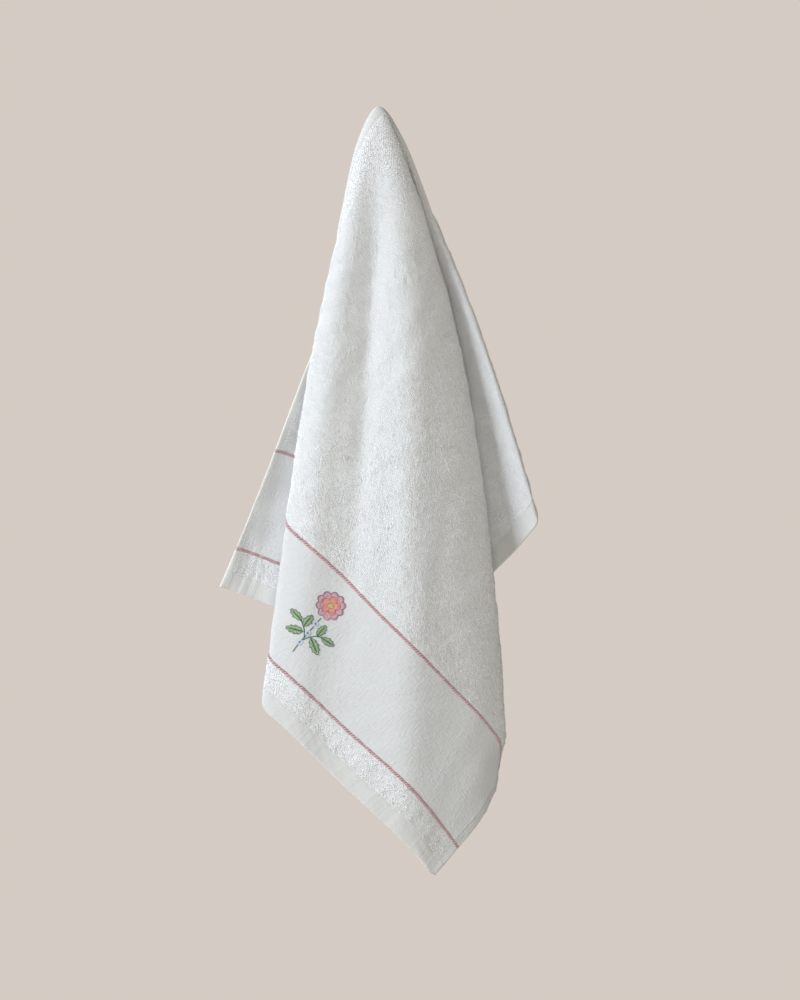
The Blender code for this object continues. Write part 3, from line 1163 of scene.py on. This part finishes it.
@dataclass
class Outlook:
    """Which places on each face of the cloth can be seen from outside, with lengths in metres."""

    plan: ClothPlan
    cell: float = 0.005
    rays: int = 20
    spread_down: float = 0.86  # how far towards the cloth the rays spread
    ray_start: float = 0.0022
    room_start: float = 0.0010
    room_reach: float = 0.05
    view_reach: float = 1.5
    any_way: tuple[float, float, float] = (0.31, 0.87, 0.39)  # a way that no normal points
    seen: dict = field(default_factory=dict)
    room: dict = field(default_factory=dict)

    def grid(self) -> tuple[Array, Array, BVHTree]:
        """Models the middle of the cloth for the rays.

        Returns:
            Its places and inner normals, with the axis last, and its search tree.
        """
        drape = self.plan.drape
        across = np.arange(0.0, drape.width + self.cell, self.cell)
        along = np.arange(0.0, drape.length + self.cell, self.cell)
        middle, _, _, normal = drape.frames(*np.meshgrid(across, along, indexing="ij"))
        columns, rings = middle.shape[:2]
        c, k = np.meshgrid(np.arange(columns - 1), np.arange(rings - 1), indexing="ij")
        a = (c * rings + k).ravel()
        quads = np.stack([a, a + 1, a + rings + 1, a + rings], 1)
        return middle, normal, BVHTree.FromPolygons(middle.reshape(-1, 3).tolist(), quads.tolist())

    def look(self) -> None:
        """Casts rays from a grid of places on both faces and keeps which of them get out."""
        middle, normal, tree = self.grid()
        fan = self.fan()
        for face in Face:
            out = (normal * face.value).reshape(-1, 3)
            start = middle.reshape(-1, 3) + out * self.ray_start
            aside = np.cross(out, np.array(self.any_way))
            aside /= np.linalg.norm(aside, axis=1, keepdims=True)
            third = np.cross(out, aside)
            seen, room = np.zeros(len(out)), np.full(len(out), self.room_reach)
            for n, (place, way, side, up) in enumerate(zip(start, out, aside, third)):
                foot = Vector(place - way * (self.ray_start - self.room_start))
                hit = tree.ray_cast(foot, Vector(way), self.room_reach)
                if hit[0] is not None:
                    room[n] = hit[3] + self.room_start
                for f in fan:
                    ray = Vector(way * f[2] + side * f[0] + up * f[1])
                    seen[n] += tree.ray_cast(Vector(place), ray, self.view_reach)[0] is None
            self.seen[face] = self.spread(seen.reshape(middle.shape[:2]) / self.rays)
            self.room[face] = room.reshape(middle.shape[:2])

    def fan(self) -> Array:
        """Spreads the rays over half a ball, in even turns.

        Returns:
            Their directions in three columns, with the share out of the cloth last.
        """
        k = np.arange(self.rays)
        up = 1 - (k + 0.5) / self.rays * self.spread_down
        turned = ways(k * math.pi * (3 - math.sqrt(5))) * np.sqrt(1 - up**2)[:, None]
        return np.column_stack([turned, up])

    @staticmethod
    def spread(mask: Array) -> Array:
        """Gives each place the largest value of its neighbours.

        Args:
            mask: Table of values.

        Returns:
            The spread table.
        """
        padded = np.pad(mask, 1, mode="edge")
        rows = np.maximum.reduce([padded[:-2], padded[1:-1], padded[2:]])
        return np.maximum.reduce([rows[:, :-2], rows[:, 1:-1], rows[:, 2:]])

    def at(self, table: Array, u: Array, v: Array) -> Array:
        """Reads a table at flat places.

        Args:
            table: Values on the grid of places.
            u: Places across the flat cloth, m.
            v: Places along the flat cloth, m.

        Returns:
            The value nearest to each place.
        """
        i = np.clip(np.rint(u / self.cell).astype(int), 0, table.shape[0] - 1)
        j = np.clip(np.rint(v / self.cell).astype(int), 0, table.shape[1] - 1)
        return table[i, j]


@dataclass(frozen=True)
class LoopSize:
    """Spacing and size of the loops of one kind of pile, m."""

    pitch: float  # from loop to loop in a row
    row_pitch: float  # from row to row
    length: float
    yarn: float
    height: float
    jitter: float
    turn: float  # spread of directions, radians
    flop: float  # spread of the lean, as a share of the height


@dataclass
class TerryPile:
    """The looped pile on both faces, where it can be seen, with lengths in metres."""

    plan: ClothPlan
    outlook: Outlook
    bench: ShapeBench
    fine: LoopSize = LoopSize(pitch=0.00195, row_pitch=0.00155, length=0.0026, yarn=0.00112,
                              height=0.00108, jitter=0.00026, turn=0.24, flop=0.36)
    coarse: LoopSize = LoopSize(pitch=0.00200, row_pitch=0.00165, length=0.0027, yarn=0.00130,
                                height=0.00072, jitter=0.00034, turn=0.30, flop=0.28)
    least_seen: float = 0.22
    patch: float = 0.0030
    per_piece: int = 24500
    row_jitter: float = 0.3  # share of the jitter that moves a loop out of its row
    first_row: float = 0.0008
    hem_gap: float = 0.0004
    stripe_gap: float = 0.0003
    top_gap: float = 0.006
    lush: float = 0.23  # change of height from patch to patch
    heights: tuple[float, float] = (0.65, 1.3)
    sizes: tuple[float, float] = (0.85, 1.15)
    room: tuple[float, float] = (0.0022, 0.006)
    room_share: float = 0.5
    top_height: float = 0.45  # share of the height left at the hanging point
    top_eases: tuple[float, float] = (0.02, 0.12)
    sunk: float = 0.0001

    def places(self, rng: np.random.Generator, face: Face, kind: LoopSize) -> tuple[Array, Array]:
        """Lays out the loops of one kind on one face, in rows across the cloth.

        Args:
            rng: Source of random numbers.
            face: The face of the cloth.
            kind: Spacing and size of the loops.

        Returns:
            Their flat places u and v, m.
        """
        plan, drape = self.plan, self.plan.drape
        across = np.arange(plan.side_hem, drape.width - plan.side_hem, kind.pitch)
        along = np.arange(plan.end_hem + self.first_row, drape.length - plan.end_hem, kind.row_pitch)
        u, v = (m.ravel() for m in np.meshgrid(across, along, indexing="ij"))
        odd = np.rint(v / kind.row_pitch) % 2
        u = u + rng.normal(0.0, kind.jitter, u.shape) + 0.5 * kind.pitch * odd
        v = v + rng.normal(0.0, kind.jitter * self.row_jitter, v.shape)
        keep = plan.inside_hems(u, v, self.hem_gap) & ~plan.in_band(v, self.stripe_gap)
        keep &= (v < plan.lower_stripe) == (kind is self.coarse)
        keep &= self.outlook.at(self.outlook.seen[face], u, v) > self.least_seen
        keep &= drape.polar(u, v)[0] > self.top_gap
        return u[keep], v[keep]

    def patches(self, rng: np.random.Generator, u: Array, v: Array) -> Array:
        """Soft random values about zero that change from patch to patch of the cloth.

        Args:
            rng: Source of random numbers.
            u: Places across the flat cloth, m.
            v: Places along the flat cloth, m.

        Returns:
            A value for each place.
        """
        drape = self.plan.drape
        shape = tuple(int(size / self.patch) + 3 for size in (drape.width, drape.length))
        table, i, j = rng.normal(0.0, 1.0, shape), u / self.patch, v / self.patch
        a, b = np.floor(i).astype(int), np.floor(j).astype(int)
        s, t = blend(i - a, 0.0, 1.0), blend(j - b, 0.0, 1.0)
        near, far = (table[c, b] * (1 - t) + table[c, b + 1] * t for c in (a, a + 1))
        return near * (1 - s) + far * s

    def loops(self, rng: np.random.Generator, face: Face, kind: LoopSize) -> Array:
        """Draws up the loops of one kind on one face.

        Args:
            rng: Source of random numbers.
            face: The face of the cloth.
            kind: Spacing and size of the loops.

        Returns:
            A row for each loop: flat place, flat way, length, width, height and its two leans.
        """
        u, v = self.places(rng, face, kind)
        count = len(u)
        room = np.clip(self.outlook.at(self.outlook.room[face], u, v), *self.room)
        lush = 1 + self.lush * self.patches(rng, u, v)
        height = np.minimum(kind.height * lush * rng.uniform(*self.heights, count), room * self.room_share)
        eased = blend(self.plan.drape.polar(u, v)[0], *self.top_eases)
        height = height * (self.top_height + (1 - self.top_height) * eased)
        grow = rng.uniform(*self.sizes, count)
        turn = rng.normal(0.0, kind.turn, count) + kind.turn * self.patches(rng, u, v)
        return np.stack([u, v, np.cos(turn), np.sin(turn), kind.length * grow, kind.yarn * grow,
                         height, *rng.normal(0.0, kind.flop, (2, count))], axis=1)

    def build(self, finish: YarnFinish) -> list[bpy.types.Object]:
        """Builds the pile.

        Args:
            finish: The yarn's finish.

        Returns:
            Pieces of loops, each with at most the set number.
        """
        rng, shape, material = np.random.default_rng(SEED), self.bench.nub(), finish.material()
        blocks = []
        for face in Face:
            rows = np.concatenate([self.loops(rng, face, kind) for kind in (self.fine, self.coarse)])
            for first in range(0, len(rows), self.per_piece):
                part = rows[first:first + self.per_piece]
                blocks.append(Laid(self.plan, face).copies(
                    shape, part[:, 0], part[:, 1], part[:, 2:4], part[:, 4:7], -self.sunk, part[:, 7:9]))
        LOG.info("pile: %d loops", sum(len(faces) for _, faces in blocks) // len(shape.triangles))
        return [mesh_piece(f"terry_pile_{n + 1}", *block, material) for n, block in enumerate(blocks)]


@dataclass
class RopeStripes:
    """The two pink rope-like stripes, woven right across on both faces, in metres."""

    plan: ClothPlan
    outlook: Outlook
    bench: ShapeBench
    pitch: float = 0.0024
    drift: float = 0.00012
    lobe: tuple[float, float, float] = (0.0036, 0.00128, 0.0007)
    slant: float = math.radians(50)
    ends: tuple[float, float] = (0.0015, 0.002)
    sizes: tuple[float, float] = (0.85, 1.12)

    def build(self, light: YarnFinish, dark: YarnFinish) -> list[bpy.types.Object]:
        """Builds both stripes.

        Args:
            light: Finish of the light strand.
            dark: Finish of the dark strand, the same pink painted darker: painted shade for the grooves of
                the rope's twist.

        Returns:
            One piece for each strand.
        """
        shape, pieces = self.bench.lobe(), []
        # The dark strand is laid between the light lobes as painted shade in the twist's grooves.
        for strand, (tone, finish) in enumerate((("light", light), ("dark", dark))):
            heap, rng = Heap(), np.random.default_rng(SEED + strand)
            for face in Face:
                for place in (self.plan.lower_stripe, self.plan.upper_stripe):
                    u = np.arange(self.ends[0], self.plan.drape.width - self.ends[1], self.pitch)
                    u = u + self.pitch * 0.5 * strand + rng.normal(0.0, self.drift, u.shape)
                    v = place + rng.normal(0.0, self.drift, u.shape)
                    shown = self.outlook.at(self.outlook.seen[face], u, v) > 0
                    u, v = u[shown], v[shown]
                    run = np.tile([math.cos(self.slant), math.sin(self.slant)], (len(u), 1))
                    size = np.tile(self.lobe, (len(u), 1)) * rng.uniform(*self.sizes, (len(u), 1))
                    heap.add(*Laid(self.plan, face).copies(shape, u, v, run, size))
            pieces.append(heap.piece(f"rope_stripe_{tone}", finish.material()))
        return pieces


@dataclass
class HemStitches:
    """Lock stitches along the inner edge of all four hems, on both faces, in metres."""

    plan: ClothPlan
    outlook: Outlook
    bench: ShapeBench
    pitch: float = 0.0031
    inset: float = 0.0011
    stitch: tuple[float, float, float] = (0.0022, 0.00042, 0.00022)
    top_gap: float = 0.012

    def build(self, finish: YarnFinish) -> bpy.types.Object:
        """Builds the stitches.

        Args:
            finish: The thread's finish.

        Returns:
            All stitches as one piece.
        """
        plan, drape = self.plan, self.plan.drape
        side, end = plan.side_hem - self.inset, plan.end_hem - self.inset
        along = np.arange(end, drape.length - end, self.pitch)
        across = np.arange(side, drape.width - side, self.pitch)
        rows = [(np.full_like(along, place), along, (0.0, 1.0)) for place in (side, drape.width - side)]
        rows += [(across, np.full_like(across, place), (1.0, 0.0)) for place in (end, drape.length - end)]
        shape, heap = self.bench.lobe(), Heap()
        for face in Face:
            for u, v, way in rows:
                keep = drape.polar(u, v)[0] > self.top_gap
                keep &= self.outlook.at(self.outlook.seen[face], u, v) > 0
                u, v = u[keep], v[keep]
                run, size = np.tile(way, (len(u), 1)), np.tile(self.stitch, (len(u), 1))
                heap.add(*Laid(plan, face).copies(shape, u, v, run, size))
        return heap.piece("hem_stitches", finish.material())


class Thread(Enum):
    """Embroidery threads, with their colours."""

    PETAL = (0.67, 0.41, 0.48, 1.0)
    PETAL_EDGE = (0.37, 0.14, 0.20, 1.0)
    CORAL = (0.86, 0.36, 0.30, 1.0)
    CORAL_EDGE = (0.58, 0.11, 0.11, 1.0)
    EYE = (0.86, 0.74, 0.36, 1.0)
    EYE_RING = (0.50, 0.38, 0.16, 1.0)
    STEM = (0.075, 0.20, 0.17, 1.0)
    LEAF = (0.50, 0.66, 0.40, 1.0)
    LEAF_EDGE = (0.05, 0.17, 0.10, 1.0)
    BLOSSOM = (0.66, 0.73, 0.84, 1.0)
    BLOSSOM_EYE = (0.06, 0.10, 0.30, 1.0)


@dataclass(frozen=True)
class Petals:
    """The scalloped rim of a flower, mm."""

    inside: float  # reach between two petals
    bulge: float  # how much further a petal reaches
    count: int
    power: float = 1.0  # a lower one makes fuller petals
    phase: float = 0.0

    def reach(self, turn: Array) -> Array:
        """Distance of the rim from the middle at turns in radians, one column."""
        wave = np.abs(np.cos(self.count / 2 * turn + self.phase)) ** self.power
        return (self.inside + self.bulge * wave)[:, None]

    def notches(self) -> Array:
        """Unit directions of the places between its petals."""
        return ways((np.arange(self.count) + 0.5) * math.tau / self.count - 2 * self.phase / self.count)


@dataclass(frozen=True)
class Leaf:
    """One toothed leaf, mm, with its form as shares of its length or width."""

    base: tuple[float, float]  # where it joins its twig
    tip: tuple[float, float]
    width: float
    stitched: tuple[float, float] = (0.03, 0.97)
    teeth: float = 3.6
    first_tooth: float = 0.25
    hook: float = 1.5  # a higher one bends the teeth more
    broad_at: float = 0.85  # a lower one brings the broadest place nearer the base
    fullness: float = 0.6  # a lower one makes it fuller
    body: float = 0.66
    tooth: float = 0.46
    slant: tuple[float, float] = (0.04, 0.05)  # of its stitches, between and at the teeth
    vein: float = 0.6
    rib: float = 0.85


@dataclass(frozen=True)
class Stitch:
    """One kind of stitch in one thread, mm."""

    thread: Thread
    width: float
    height: float
    lift: float = 0.0  # of its foot above the cloth
    length: float = 1.0  # where it follows a path


class Kind(Enum):
    """Kinds of stitches in the sprig."""

    PETAL = Stitch(Thread.PETAL, 0.50, 0.34)
    PETAL_TIP = Stitch(Thread.PETAL, 0.50, 0.36, 0.05)
    PETAL_EDGE = Stitch(Thread.PETAL_EDGE, 0.46, 0.42, 0.10, 1.1)
    NOTCH = Stitch(Thread.PETAL_EDGE, 0.52, 0.38, 0.24)
    CORAL = Stitch(Thread.CORAL, 0.52, 0.50, 0.15)
    CORAL_EDGE = Stitch(Thread.CORAL_EDGE, 0.40, 0.45, 0.20, 1.2)
    CORAL_GAP = Stitch(Thread.CORAL_EDGE, 0.42, 0.40, 0.40)
    EYE_RING = Stitch(Thread.EYE_RING, 0.40, 0.50, 0.25, 1.0)
    EYE = Stitch(Thread.EYE, 0.90, 0.75, 0.25)
    STEM = Stitch(Thread.STEM, 0.95, 0.55, 0.10, 1.5)
    TWIG = Stitch(Thread.STEM, 1.00, 0.50, 0.10, 1.3)
    LEAF = Stitch(Thread.LEAF, 0.48, 0.34)
    LEAF_EDGE = Stitch(Thread.LEAF_EDGE, 0.52, 0.46, 0.18, 0.9)
    VEIN = Stitch(Thread.LEAF_EDGE, 0.32, 0.30, 0.20)
    RIB = Stitch(Thread.LEAF_EDGE, 0.36, 0.42, 0.15, 1.4)
    BLOSSOM = Stitch(Thread.BLOSSOM, 0.62, 0.42)
    BLOSSOM_EYE = Stitch(Thread.BLOSSOM_EYE, 1.10, 0.80, 0.20)


@dataclass
class Sprig:
    """Embroidered flower with its stem, three small blossoms and two leafy twigs.

    The sprig is drawn in mm on two axes of its own, one to the right and one up as it hangs, which
    lie at 45 degrees to the cloth's edges, from the middle of the flower.
    """

    plan: ClothPlan
    bench: ShapeBench
    middle: tuple[float, float] = (0.2784, 0.1020)
    thread: float = 0.00042
    overlap: float = 0.18  # of the stitches of a path, as a share of their length
    point: float = 0.6  # how far a stitch reaches past its ends, as a share of the thread
    satin: float = 0.36  # distance between the stitches of a leaf, mm
    outer: Petals = Petals(9.8, 2.4, 10, 0.75)
    inner: Petals = Petals(4.7, 3.0, 5, 0.6, 0.3)
    small: Petals = Petals(2.5, 0.5, 5)
    oval: tuple[float, float] = (0.95, 1.03)  # how much narrower and higher the flower is than round
    uneven: float = 0.03  # change of its reach, in three waves
    petal_start: float = 5.0
    petal_rows: tuple[float, float] = (0.62, 0.72)  # start of the outer row and end of the inner one
    notch: tuple[float, float] = (7.4, 10.2)
    coral_start: float = 2.0
    gap: tuple[float, float] = (2.9, 5.0)
    ring: float = 2.7
    knots: tuple[tuple[float, int], ...] = ((0.0, 1), (1.0, 6), (1.9, 11))  # radius and number
    knot: float = 0.45
    small_start: float = 0.5
    small_knot: float = 0.55
    stitches: dict = field(default_factory=dict)

    def sew(self, kind: Kind, start: Array, end: Array) -> None:
        """Adds stitches of one kind.

        Args:
            kind: The kind.
            start: Starts of the stitches, two columns, mm.
            end: Their ends, mm.
        """
        stitch = kind.value
        size = np.tile([stitch.width, stitch.height, stitch.lift], (len(start), 1))
        self.stitches.setdefault(stitch.thread, []).append(np.hstack([start, end, size]))

    def sew_path(self, kind: Kind, path: Array) -> None:
        """Adds overlapping stitches along a path.

        Args:
            kind: Their kind.
            path: Points of the path, two columns, mm.
        """
        lengths = np.r_[0, np.cumsum(np.hypot(*np.diff(path, axis=0).T))]
        count = max(1, round(lengths[-1] / kind.value.length))
        marks = np.linspace(0, lengths[-1], count + 1)
        spots = np.stack([np.interp(marks, lengths, path[:, k]) for k in (0, 1)], axis=1)
        reach = (spots[1:] - spots[:-1]) * self.overlap
        self.sew(kind, spots[:-1] - reach, spots[1:] + reach)

    def sew_knots(self, kind: Kind, spots: Array, half: float) -> None:
        """Adds level stitches centred on spots, each reaching half its length to either side."""
        self.sew(kind, spots - [half, 0], spots + [half, 0])

    def flower(self) -> None:
        """Ten outer petals, five coral inner petals and a yellow eye."""
        turn = np.linspace(0, math.tau, 190, endpoint=False)
        even = ways(turn)
        oval = even * self.oval
        outer = self.outer.reach(turn) * (1 + self.uneven * np.sin(3 * turn + 1))[:, None]
        inner = self.inner.reach(turn)
        first, last = self.petal_rows
        self.sew(Kind.PETAL, oval * self.petal_start, oval * (outer * last))
        self.sew(Kind.PETAL_TIP, oval * (outer * first), oval * outer)
        self.sew_path(Kind.PETAL_EDGE, closed(oval * outer))
        self.sew(Kind.NOTCH, *(self.outer.notches() * reach for reach in self.notch))
        self.sew(Kind.CORAL, even[::2] * self.coral_start, (even * inner)[::2])
        self.sew_path(Kind.CORAL_EDGE, closed(oval * inner))
        self.sew(Kind.CORAL_GAP, *(self.inner.notches() * reach for reach in self.gap))
        self.sew_path(Kind.EYE_RING, closed(even * self.ring))
        for radius, count in self.knots:
            self.sew_knots(Kind.EYE, ways(np.arange(count) / count * math.tau) * radius, self.knot)

    def leaf(self, leaf: Leaf) -> None:
        """Sews one leaf in satin stitch with a dark edge.

        Args:
            leaf: The leaf.
        """
        base, tip = np.array(leaf.base), np.array(leaf.tip)
        way = tip - base
        length = np.hypot(*way)
        side = np.array([-way[1], way[0]]) / length
        share = np.linspace(*leaf.stitched, max(8, round(length / self.satin)))
        tooth = ((share * leaf.teeth + leaf.first_tooth) % 1.0) ** leaf.hook
        half = leaf.width / 2 * np.sin(math.pi * share**leaf.broad_at) ** leaf.fullness
        half = (half * (leaf.body + leaf.tooth * tooth))[:, None]
        rib = base + way * share[:, None]
        for hand in (-1, 1):
            rim = rib + side * hand * half + way * (leaf.slant[0] + leaf.slant[1] * tooth[:, None])
            self.sew(Kind.LEAF, rib, rim)
            self.sew_path(Kind.LEAF_EDGE, np.vstack([base, rim, tip]))
            veins = slice(2, -2, 3)
            self.sew(Kind.VEIN, rib[veins], rib[veins] + (rim - rib)[veins] * leaf.vein)
        self.sew_path(Kind.RIB, np.vstack([base, base + way * leaf.rib]))

    def blossom(self, spot: tuple[float, float]) -> None:
        """One small pale blue blossom with a dark eye.

        Args:
            spot: Its middle, mm.
        """
        turn, spot = np.linspace(0, math.tau, 22, endpoint=False), np.array(spot)
        rim = ways(turn) * self.small.reach(turn)
        self.sew(Kind.BLOSSOM, spot + ways(turn) * self.small_start, spot + rim)
        self.sew_knots(Kind.BLOSSOM_EYE, spot[None], self.small_knot)

    def draw(self) -> None:
        """Sews the whole sprig: the flower, the stem and its twigs, the leaves and the blossoms."""
        self.flower()
        stem = (((-7.4, -10.6), (-9.9, -13.6)), ((-13.1, -18.0), (-15.5, -21.3)),
                ((-19.0, -26.0), (-21.9, -29.6)), ((-25.1, -33.9), (-28.8, -39.5)))
        for ends in stem:
            self.sew_path(Kind.STEM, np.array(ends))
        fork = (-21.0, -29.4)
        left = (fork, (-20.0, -26.4), (-19.8, -22.4), (-20.4, -18.2), (-21.4, -14.8), (-22.8, -11.6))
        right = (fork, (-18.6, -28.0), (-15.2, -26.8), (-11.6, -26.1), (-7.4, -26.9))
        for path in (left, right):
            self.sew_path(Kind.TWIG, np.array(path))
        leaves = (
            Leaf((-21.4, -13.4), (-28.6, -4.2), 5.9), Leaf((-20.5, -18.2), (-14.0, -8.8), 6.6),
            Leaf((-20.8, -22.5), (-32.2, -19.6), 7.7), Leaf((-10.6, -26.0), (-4.0, -17.3), 6.5),
            Leaf((-7.4, -26.9), (2.0, -33.8), 6.5), Leaf((-15.2, -27.4), (-10.6, -41.2), 7.3))
        for leaf in leaves:
            self.leaf(leaf)
        for spot in ((-11.4, -15.7), (-17.3, -23.7), (-23.5, -31.6)):
            self.blossom(spot)

    def build(self) -> list[bpy.types.Object]:
        """Builds the sprig.

        Returns:
            One piece for each thread.
        """
        self.draw()
        laid, shape, pieces = Laid(self.plan, Face.OUTER), self.bench.lobe(), []
        for thread, blocks in self.stitches.items():
            rows = np.concatenate(blocks)
            turned = (rows[:, (0, 2)] - rows[:, (1, 3)]), (rows[:, (0, 2)] + rows[:, (1, 3)])
            u, v = (m * MM / math.sqrt(2) + c for m, c in zip(turned, self.middle))
            run = np.stack([u[:, 1] - u[:, 0], v[:, 1] - v[:, 0]], axis=1)
            length = np.hypot(run[:, 0], run[:, 1]) + self.thread * self.point
            size = np.stack([length, rows[:, 4] * MM, rows[:, 5] * MM], axis=1)
            block = laid.copies(shape, u.mean(axis=1), v.mean(axis=1), run, size, rows[:, 6] * MM)
            name = thread.name.lower()
            finish = YarnFinish(f"{name} thread", thread.value, 0.80, roughness=0.62, sheen=0.0, grain=700.0)
            pieces.append(mesh_piece(f"sprig_{name}", *block, finish.material()))
        return pieces


# ---------------------------------------------------------------- studio


@dataclass(frozen=True)
class Lamp:
    """One square soft light aimed at the middle of the towel."""

    name: str
    place: tuple[float, float, float]
    size: float
    watts: float
    color: tuple[float, float, float] = (1.0, 1.0, 1.0)
    aim: tuple[float, float, float] = (0.0, 0.0, -0.33)

    def build(self) -> None:
        """Adds the light."""
        data = bpy.data.lights.new(self.name, "AREA")
        data.shape, data.size, data.energy, data.color = "SQUARE", self.size, self.watts, self.color
        light = bpy.data.objects.new(self.name, data)
        light.location = self.place
        toward = Vector(self.aim) - Vector(self.place)
        light.rotation_euler = toward.to_track_quat("-Z", "Y").to_euler()
        bpy.context.collection.objects.link(light)


@dataclass
class Studio:
    """Camera, soft lights, pale surround and pale floor."""

    distance: float = 2.6
    aim: tuple[float, float] = (0.0178, -0.334)
    view_height: float = 0.85
    sensor: float = 36.0
    floor_depth: float = -1.30
    floor_radius: float = 1.6
    seen: tuple = ((0.66, 0.60, 0.55, 1.0), 1.0)  # colour and strength that the camera sees
    given: tuple = ((1.0, 0.935, 0.86, 1.0), 0.27)  # those of the light it gives
    lamps: tuple[Lamp, ...] = (
        Lamp("key", (-2.13, -1.09, 0.60), 1.1, 58.0, (0.845, 0.92, 1.0)),
        Lamp("front fill", (0.20, -3.20, 0.50), 2.0, 35.0, (1.0, 0.98, 0.88)),
        Lamp("back fill", (-1.8, 1.6, 0.6), 1.2, 30.0))

    def camera(self) -> None:
        """Sets the camera level in front of the towel."""
        bpy.ops.object.camera_add(location=(self.aim[0], -self.distance, self.aim[1]),
                                  rotation=(math.pi / 2, 0, 0))
        camera = bpy.context.object
        camera.data.sensor_width = self.sensor
        camera.data.lens = self.sensor * self.distance / self.view_height
        bpy.context.scene.camera = camera

    def surround(self) -> None:
        """Adds the pale surround: what the camera sees is paler than the light it gives."""
        world = bpy.data.worlds.new("studio")
        world.use_nodes = True
        bpy.context.scene.world = world
        nodes, links = world.node_tree.nodes, world.node_tree.links
        nodes.clear()
        path, mix = nodes.new("ShaderNodeLightPath"), nodes.new("ShaderNodeMixShader")
        links.new(path.outputs["Is Camera Ray"], mix.inputs[0])
        for place, (color, strength) in ((1, self.given), (2, self.seen)):
            light = nodes.new("ShaderNodeBackground")
            light.inputs[0].default_value, light.inputs[1].default_value = color, strength
            links.new(light.outputs[0], mix.inputs[place])
        links.new(mix.outputs[0], nodes.new("ShaderNodeOutputWorld").inputs[0])

    def floor(self) -> None:
        """Adds the floor, a pale disc well below the towel."""
        ShapeBench.start()
        bpy.ops.mesh.primitive_circle_add(vertices=96, radius=self.floor_radius, fill_type="NGON")
        floor = bpy.context.object
        floor.name = "studio_floor"
        for corner in floor.data.vertices:
            corner.co.z = self.floor_depth
        floor.data.materials.append(FloorFinish().material())

    def build(self) -> None:
        """Sets up the whole studio."""
        self.camera()
        self.surround()
        self.floor()
        for lamp in self.lamps:
            lamp.build()
        bpy.context.scene.view_settings.view_transform = "Standard"


def main() -> None:
    """Builds the towel's pieces in order and the studio round them."""
    logging.basicConfig(level=logging.INFO, format="%(name)s: %(message)s")
    plan, bench = ClothPlan(Drape()), ShapeBench()
    Studio().build()
    sheet = ClothSheet(plan).build(ClothFinish(plan))
    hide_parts("towel")
    outlook = Outlook(plan)
    outlook.look()
    terry = YarnFinish("terry yarn", (0.94, 0.95, 0.975, 1.0), 0.86, grain=640.0, glow=0.6)
    pile = TerryPile(plan, outlook, bench).build(terry)
    pink = YarnFinish("light pink yarn", (0.73, 0.55, 0.56, 1.0), 0.85)
    # The same pink painted darker: painted shade for the grooves of the rope's twist.
    shaded_pink = YarnFinish("pink yarn in painted shade", (0.44, 0.24, 0.27, 1.0), 0.8)
    details = RopeStripes(plan, outlook, bench).build(pink, shaded_pink)
    sewing = YarnFinish("sewing thread", (0.76, 0.755, 0.74, 1.0))
    details.append(HemStitches(plan, outlook, bench).build(sewing))
    details += Sprig(plan, bench).build()
    for piece in [sheet, *pile, *details]:
        settle(piece)


if __name__ == "__main__":
    main()
